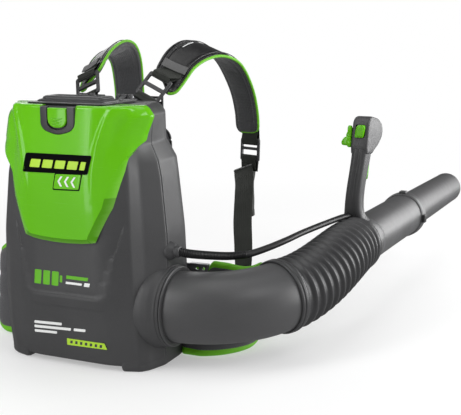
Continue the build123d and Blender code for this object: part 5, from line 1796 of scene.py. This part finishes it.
def hip_pick(i, j):
    """Trim round the edge on both faces, fabric inside it."""
    if j in (HIP_COUNT - 1, 2 * HIP_COUNT - 1):
        return 1
    xs = spread_columns(HIP_COUNT, HIP_SEAMS)[0]
    a = j if j < HIP_COUNT else 2 * HIP_COUNT - 1 - j
    b = a + 1 if j < HIP_COUNT - 1 else a - 1
    beyond = abs((xs[a] + xs[b]) / 2) > HIP_TRIM
    return 1 if beyond or hip_dist[i] < 13 or hip_dist[i] > hip_dist[-1] - 17 else 0


def hip_warp(rings):
    """Flare the lower edge at both wings and drop the top edge behind the outlet."""
    x, y, z = np.moveaxis(rings.copy(), 2, 0)
    flare = np.clip(1 - z / 120.0, 0, 1) ** 1.5
    front = 1 - smooth_step(135, 215, y)
    reach = np.interp(x, [112, 150, 185, 216, 243], [0, 66, 54, 36, 16])
    rings[:, :, 1] -= reach * flare * front
    rings[:, :, 0] += np.interp(x, [195, 243], [0, 9]) * flare
    flare = np.clip(1 - z / HIP_TOP, 0, 1) ** 1.5
    left = smooth_step(-150.0, -250.0, x)
    rings[:, :, 1] -= 72.0 * flare * left
    rings[:, :, 0] += 42.0 * flare * left
    outlet = smooth_step(94, 120, x) * (1 - smooth_step(168, 192, x))
    rings[:, :, 2] -= 26.0 * outlet * smooth_step(90, HIP_TOP, z)
    return rings


hip_thick = 17.4 * (1 - 0.45 * end_round(hip_dist, HIP_END_R)[1] ** 3)
hip_pad = Cushion("hip_pad_v", hip_path, *hip_edges(), hip_thick, [MAT["pad"], MAT["trim"]],
                  hip_pick, count=HIP_COUNT, power=4.5, seams=HIP_SEAMS, warp=hip_warp)
puff([*shoulder_pads.values(), back_pad, hip_pad])


# ---------------------------------------------------------------- seams and trims
def build_pad_tab(pad):
    """Small pale tab sewn near the neck-side edge."""
    start = int(np.argmin(np.linalg.norm(pad.mid - np.array([88, 190, 540.0]), axis=1)))
    rows = range(start + 1, start + 9)
    points = [pad.mid[k] + pad.across[k] * (-0.46 * pad.high[k])
              + pad.normal[k] * (pad.thick[k] / 2 * 0.95 + 2.4) for k in rows]
    tab = band("pad_tab", points, [pad.across[k] for k in rows], 2.2, 0.8, MAT["pale"], 1.2)
    put(tab, "housing", "pad_fabric")


for tag, pad in shoulder_pads.items():
    pad.stitch("pad_stitch_" + tag, radius=0.5, pitch=5.0, trim=2, rear_radius=0.45)
    rim = pad.rim(shift=1.6, grow=0.4)
    # on the right pad, green along the outer edge and front end, black on the neck side
    green_to, green_from = len(pad.mid) + 9, len(rim) - 5
    piping("pad_piping_" + tag, rim, 2.7, [MAT["trim"], MAT["satin"]], "green_gloss",
           lambda i, j: 0 if tag == "left" or i < green_to or i > green_from else 1)
    if tag == "right":
        build_pad_tab(pad)
    # a bead inside each edge
    for edge in (pad.high - 7.5, pad.low + 7.5):
        line = pad.mid + pad.across * edge[:, None]
        line = (line + pad.normal * (pad.thick * 0.44 + 0.9)[:, None])[12:-3]
        bead = [(p, d, 0.9) for p, d in zip(line, directions(line))]
        put(pipe("pad_bead", bead, MAT["satin"], 8, cap=True, sharp=80), "housing", "pad_fabric")
    pad.finish("shoulder_pad_" + tag)

back_pad.stitch("back_pad_stitch", radius=0.5, pitch=5.2, trim=3, both_faces=False)
piping("back_pad_piping", back_pad.rim(shift=0.0, grow=0.6), 2.4, MAT["satin"], "pad_fabric")
back_pad.finish("back_pad")
hip_pad.stitch("hip_pad_stitch", radius=0.5, pitch=5.6, trim=3)
hip_pad.finish("hip_pad")


# ---------------------------------------------------------------- buckles
class Buckle:
    """Place of the right-hand buckle: centre, and its across, up and normal vectors."""

    def __init__(self, centre, across, up):
        self.centre, self.across, self.up = centre, across, up
        self.normal = np.cross(across, up)

    def points(self, local):
        """Points from (up, normal) offsets, on the buckle's middle line."""
        return [self.centre + self.up * b + self.normal * c for b, c in local]

    def ladder(self, width, height, slots, flip):
        """Frame with slots (up offset, width, height) and ribs on the top bar."""
        thick = 5.0
        mat = MAT["dark"]
        plane = (self.across, self.up)
        body = prism("ladder", rounded_rect(width, height, 5.5, 5),
                     self.centre - self.normal * (thick / 2), plane, thick, mat, r=1.5, sharp=40)
        for offset, slot_width, slot_height in slots:
            hole = rounded_rect(slot_width, slot_height, 1.8, 4, 0, offset)
            cut(body, prism("slot", hole, self.centre - self.normal * 20, plane, 40, mat,
                            r=0.01, n=1), 40)
        parts = [body]
        face = self.centre + self.normal * (thick / 2 - 0.3)
        for k in range(5):
            rib = rounded_rect(width * 0.055, 3.0, 0.8, 2, (k - 2) * width * 0.13,
                               height / 2 - 2.6)
            parts.append(prism("bump", rib, face, plane, 0.9, mat, r=0.35, n=2))
        frame_part = join("buckle", parts)
        if flip:
            frame_part.data.transform(Matrix.Diagonal((-1, 1, 1, 1)))
            frame_part.data.flip_normals()
        return frame_part

    def build(self, name, width, height, slots):
        pair = [self.ladder(width, height, slots, flip) for flip in (False, True)]
        put(join(name + "_v", pair), "housing", "black_plastic", name)


def square_to(v, axis):
    return unit(v - axis * np.dot(v, axis))


upper_up = unit((0.377, 0.547, 0.747))
upper_centre = (np.array([74.5, 121.0, 482.0]) + unit((0.22, 0.42, 0.72)) * 18.0
                - upper_up * 26.0 + np.array([1.2, -14.7, 0.4]))
upper = Buckle(upper_centre, square_to(np.array([0.85, -0.1, -0.4]), upper_up), upper_up)
upper.build("upper_buckles", 52, 52, [(11.2, 41, 14.0), (-10.0, 41, 15.0)])


# ---------------------------------------------------------------- upper webbing
def on_pad(row, lift):
    return pad_mid[row] + pad_normal[row] * lift


def upper_webs(flip):
    web = MAT["web"]
    # sewn loop from the pad round the top bar
    ring = upper.points([(30, 4.0), (25.0, 4.4), (20.8, 3.4), (18.4, 0), (20.8, -3.8),
                         (27.0, -4.6)])
    points = [on_pad(13, 8.0), on_pad(10, 9.2), on_pad(8, 9.0), *ring, on_pad(8, 4.4),
              on_pad(10, 3.0)]
    across = [*pad_across[[13, 10, 8]], *[upper.across] * 6, *pad_across[[8, 10]]]
    yield band("loop", points, across, 38, 1.7, web, 1.6, flip=flip)
    # paler fold laid over the start of the pad, curled down at its sides
    points = [on_pad(13, 8.6), on_pad(12, 10.4), on_pad(10, 10.6), on_pad(9, 10.2)]
    across = pad_across[[13, 12, 10, 9]]
    yield band("fold", points, across, 47, 1.8, MAT["web_grey"], 1.6, curl=-1.6, flip=flip)
    # strap from the anchor round the bottom bar
    ring = upper.points([(-31, -4.4), (-26.0, -4.2), (-21.4, -3.6), (-18.8, 0), (-21.4, 3.8),
                         (-26.5, 4.2), (-33, 2.4)])
    ring[-1] = ring[-1] - upper.across * 0.6
    points = [(62, 112.8, 436.0), (62.4, 113.2, 446.0), *ring, (61.5, 110.6, 448.0)]
    across = [(1, 0, 0), (1, 0, -0.05), *[upper.across] * 7, (1, 0, 0)]
    yield band("adjust", points, across, 38, 1.7, web, 1.6, flip=flip)


put(join("upper_webbing_v", [*upper_webs(False), *upper_webs(True)]),
    "housing", "webbing", "upper_webbing")

# ---------------------------------------------------------------- lower webbing
lower_across = unit((0.95, -0.3, 0))
lower = Buckle(np.array([144.5, 366.0, 340.0]), lower_across,
               square_to(np.array([0, 0.05, 1.0]), lower_across))
lower.build("lower_buckles", 50, 47, [(8.4, 40, 7.0), (-5.6, 40, 10.4)])

# strap from the buckle to the hip pad: point, across vector; left is drawn on the right
RIGHT_STRAP = [
    ((158, 306, 276), (0.97, -0.2, 0)), ((190, 228, 224), (0.98, 0.1, 0)),
    ((217, 172, 182), (0.85, 0.50, 0)), ((227, 150, 150), (0.62, 0.78, 0)),
    ((228, 146, 120), (0.40, 0.92, 0)),
]
LEFT_STRAP = [
    ((176, 306, 285), (0.97, -0.2, 0)), ((214, 228, 230), (0.98, 0, 0)),
    ((246, 150, 190), (0.98, 0.1, 0)), ((262, 116, 166), (0.93, -0.2, 0)),
]
STRAP_HEAD = np.array([134.5, 352.5, 303.0])
LOOSE_TAIL = [
    ((146, 367, 312), (0.6, 0.5, 0)), ((148.5, 365, 300), (0.1, 0.95, 0)),
    ((151.5, 361, 276), (-0.20, 0.97, 0)), ((154.0, 357, 246), (-0.26, 0.96, 0)),
    ((156.6, 354, 218), (-0.30, 0.95, 0)), ((157.6, 353, 206), (-0.30, 0.95, 0)),
]


def pad_loop(flip):
    """Loop from the pad round the upper bar."""
    points = lower.points([(48, 0.8), (36, 2.6), (26, 4.4), (17, 4.6), (11.6, 3.4), (10.2, 0),
                           (12, -3.8), (22, -4.6), (44, -2.6)])
    return band("lloop", points, [lower.across] * 9, 40, 1.7, MAT["web"], 1.6, flip=flip)


def lower_webs(flip, strap):
    web = MAT["web"]
    # short strap round the bottom bar
    points = lower.points([(-40, 3.0), (-24, 4.4), (-17, 4.2), (-13.0, 3.2), (-11.2, 0),
                           (-13.4, -3.8), (-24, -4.8), (-44, -3.4)])
    yield band("short", points, [lower.across] * 8, 38, 1.7, web, 1.8, flip=flip)
    # main strap with a folded head, down to the hip pad
    points, across = zip(*strap)
    along = unit(points[0] - STRAP_HEAD)
    head_across = [lower.across] * 2
    yield band("hem", [STRAP_HEAD - along * 1.9, STRAP_HEAD + along * 2.4], head_across, 40.4,
               4.2, MAT["web_grey"], 1.2, flip=flip)
    yield band("main", [STRAP_HEAD - along * 1.5, STRAP_HEAD + along * 12.0, *points],
               [*head_across, *across], 40, 1.9, web, 2.2, curl=0.5, wave=0.4, flip=flip,
               taper=0.80)
    # loose tail beside it, with a hem
    points, across = zip(*LOOSE_TAIL)
    yield band("tail", points, across, 33, 1.7, web, 2.2, wave=0.5, flip=flip)
    yield band("tailhem", points[-2:], across[-2:], 33.6, 3.0, web, 2.2, flip=flip)


put(join("lower_webbing_v", [pad_loop(False), pad_loop(True), *lower_webs(False, RIGHT_STRAP),
                             *lower_webs(True, LEFT_STRAP)]),
    "housing", "webbing", "lower_webbing")

# ---------------------------------------------------------------- harness frame
back_frame = refine("back_frame", 1.6, 3, MAT["dark"])
# the frame narrows towards its top
for vertex in back_frame.data.vertices:
    z = vertex.co.z / MM
    if z > 290:
        vertex.co.x *= 1 - 0.17 * float(smooth_step(290, 360, z))
back_frame.data.update()
refine("strap_anchors", 0.5, 2, MAT["black"])
refine("belt_brackets", 0.55, 2, MAT["alu"])
refine("intake_grille", 0.5, 2, MAT["dark"])
MOUNT = [(90.0, 0.01), (90.0, 13), (92.5, 13), (94, 10.6), (98, 10.6), (99.5, 13), (102.0, 13),
         (102.0, 0.01)]
mounts = [lathe("mount", (x, 0, z), Y, MOUNT, MAT["rubber"], 48, 0.6, 3, sharp=50)
          for x, z in ((-95, 60), (95, 60), (-80, 410), (80, 410))]
put(join("anti_vibration_mounts_v", mounts), "housing", "rubber_black", "anti_vibration_mounts")

# ---------------------------------------------------------------- materials of the CAD nodes
NODE_MATERIALS = {
    "steel": "housing_screws hinge_pins motor_shaft motor_bearings motor_rotor trigger_pin "
             "button_spring",
    "black": "battery_bay nozzle_catch trigger_switch upper_buckles lower_buckles",
    "dark": "terminal_block battery_pack fan_housing impeller intake_grille grip_left "
            "grip_right cable_gland back_frame strap_anchors latch_bezel battery_lid "
            "hinge_bracket",
    "rubber": "lid_gasket socket_seal nozzle_seal feet anti_vibration_mounts",
    "alu": "motor_can heat_sink belt_brackets",
    "copper": "motor_stator",
    "board": "control_board",
    "shell": "outlet_socket front_shell rear_shell",
    "tube": "socket_ring elbow_tube control_tube tube_lock_ring nozzle",
    "hose": "hose_cuff bellows_hose hose_clamp",
    "green": "trigger turbo_button cruise_lever front_cover lid_latch",
    "cable": "cable_conduit control_cable",
    "web": "upper_webbing lower_webbing",
    "pad": "back_pad hip_pad shoulder_pad_right shoulder_pad_left",
}
for key, names in NODE_MATERIALS.items():
    for name in names.split():
        node = NODES[name]
        if not node.material_slots:
            node.data.materials.append(None)
        for slot in node.material_slots:
            slot.material = MAT[key]


# ---------------------------------------------------------------- stage, in metres
def floor_material():
    """White near the object, fading to plain emission away from it."""
    m = Material("floor_white")
    m.set(Roughness=0.85,
          Base_Color=m.mix(m.noise(scale=3.0, detail=3.0), (0.90, 0.90, 0.90), (0.93, 0.93, 0.93)))
    glow = m.node("ShaderNodeEmission")
    distance = m.node("ShaderNodeVectorMath")
    distance.operation = "LENGTH"
    m.link(m.position, distance.inputs[0])
    far = m.ramp(distance.outputs["Value"], low=0.75, high=2.2)
    near_glow = 0.38  # share of emission under the object
    share = m.add(m.times(far, 0.62), near_glow)
    # reflections see a dimmer floor, with more emission in its mix
    glossy = m.node("ShaderNodeLightPath").outputs["Is Glossy Ray"]
    dimming, extra_share = 0.80, 0.5
    m.fill(glow, Strength=m.math("SUBTRACT", 1.0, m.times(glossy, dimming)))
    share = m.math("MINIMUM", m.add(m.times(glossy, extra_share), share), 1.0)
    blend = m.node("ShaderNodeMixShader")
    for index, source in enumerate((share, m.shader.outputs[0], glow.outputs[0])):
        m.link(source, blend.inputs[index])
    m.link(blend.outputs[0], m.output.inputs[0])
    return m.data


def build_floor():
    """Disc of rings, just under z = 0."""
    seg, radii = 64, [0.7, 1.5, 3.0, 5.0, 9.0]
    centre_y, z = 0.25, -0.0006
    verts = [(0.0, centre_y, z)]
    for r in radii:
        for i in range(seg):
            a = 2 * math.pi * i / seg
            verts.append((r * math.cos(a), r * math.sin(a) + centre_y, z))
    faces = [(0, 1 + i, 1 + (i + 1) % seg) for i in range(seg)]
    for k in range(len(radii) - 1):
        for i in range(seg):
            a, b = 1 + k * seg + i, 1 + k * seg + (i + 1) % seg
            faces.append((a, a + seg, b + seg, b))
    mesh = bpy.data.meshes.new("floor")
    mesh.from_pydata(verts, [], faces)
    floor = new_object("floor", mesh)
    mesh.materials.append(floor_material())


def build_world():
    """White to the camera, dim to reflections, soft fill for the rest."""
    world = bpy.data.worlds.new("studio")
    scene.world = world
    world.use_nodes = True
    tree = world.node_tree
    tree.nodes.clear()
    output = tree.nodes.new("ShaderNodeOutputWorld")

    def background(strength):
        node = tree.nodes.new("ShaderNodeBackground")
        node.inputs[0].default_value = (1, 1, 1, 1)
        node.inputs[1].default_value = strength
        return node

    def switch(test, otherwise, when):
        node = tree.nodes.new("ShaderNodeMixShader")
        for index, source in enumerate((rays.outputs[test], otherwise.outputs[0],
                                        when.outputs[0])):
            tree.links.new(source, node.inputs[index])
        return node

    to_camera = background(strength=1.0)
    fill = background(strength=0.34)
    to_glossy = background(strength=0.13)
    rays = tree.nodes.new("ShaderNodeLightPath")
    lighting = switch("Is Glossy Ray", fill, to_glossy)
    final = switch("Is Camera Ray", lighting, to_camera)
    tree.links.new(final.outputs[0], output.inputs[0])


# area lights: name, place, aim, size (x, y), power in watts
LIGHTS = [
    ("key_right", (2.1, 1.10, 0.55), (0.15, 0.2, 0.25), (1.2, 1.3), 36),
    ("top", (0.1, 0.0, 2.4), (0.1, 0.2, 0.2), (1.6, 1.6), 14),
    ("front_left", (-1.0, -1.6, 2.1), (0.0, -0.1, 0.25), (1.0, 1.0), 16),
    ("right_front", (1.7, -0.5, 1.9), (0.1, -0.1, 0.4), (0.8, 0.8), 9),
    ("front_card", (-0.40, -1.12, 0.50), (0.05, -0.1, 0.30), (0.38, 1.2), 4.4),
    ("rear_right", (1.25, 2.15, 0.62), (0.3, 0.6, 0.2), (0.9, 1.2), 19),
    ("rear_fill", (-1.6, 1.9, 1.5), (0.1, 0.3, 0.3), (1.6, 1.4), 14),
]


def build_lights():
    for name, place, aim, size, power in LIGHTS:
        light = bpy.data.lights.new(name, "AREA")
        light.shape = "RECTANGLE"
        light.size, light.size_y = size
        light.energy = power
        lamp = new_object(name, light)
        lamp.location = place
        lamp.rotation_euler = (Vector(aim) - Vector(place)).to_track_quat("-Z", "Y").to_euler()


def build_camera():
    """Looks down a little at the front from the right."""
    data = bpy.data.cameras.new("camera")
    data.sensor_width = 36.0
    data.sensor_fit = "HORIZONTAL"
    data.lens = 1000.0 / 461.0 * data.sensor_width
    data.clip_start, data.clip_end = 0.05, 50.0
    camera = new_object("camera", data)
    camera.location = (0.965468, -1.48980, 0.586775)
    pitch_down, turn = 10.2555538, 25.0
    camera.rotation_euler = (math.radians(90 - pitch_down), 0.0, math.radians(turn))
    scene.camera = camera


build_floor()
build_world()
build_lights()
build_camera()
scene.view_settings.view_transform = "Standard"
scene.view_settings.look = "None"
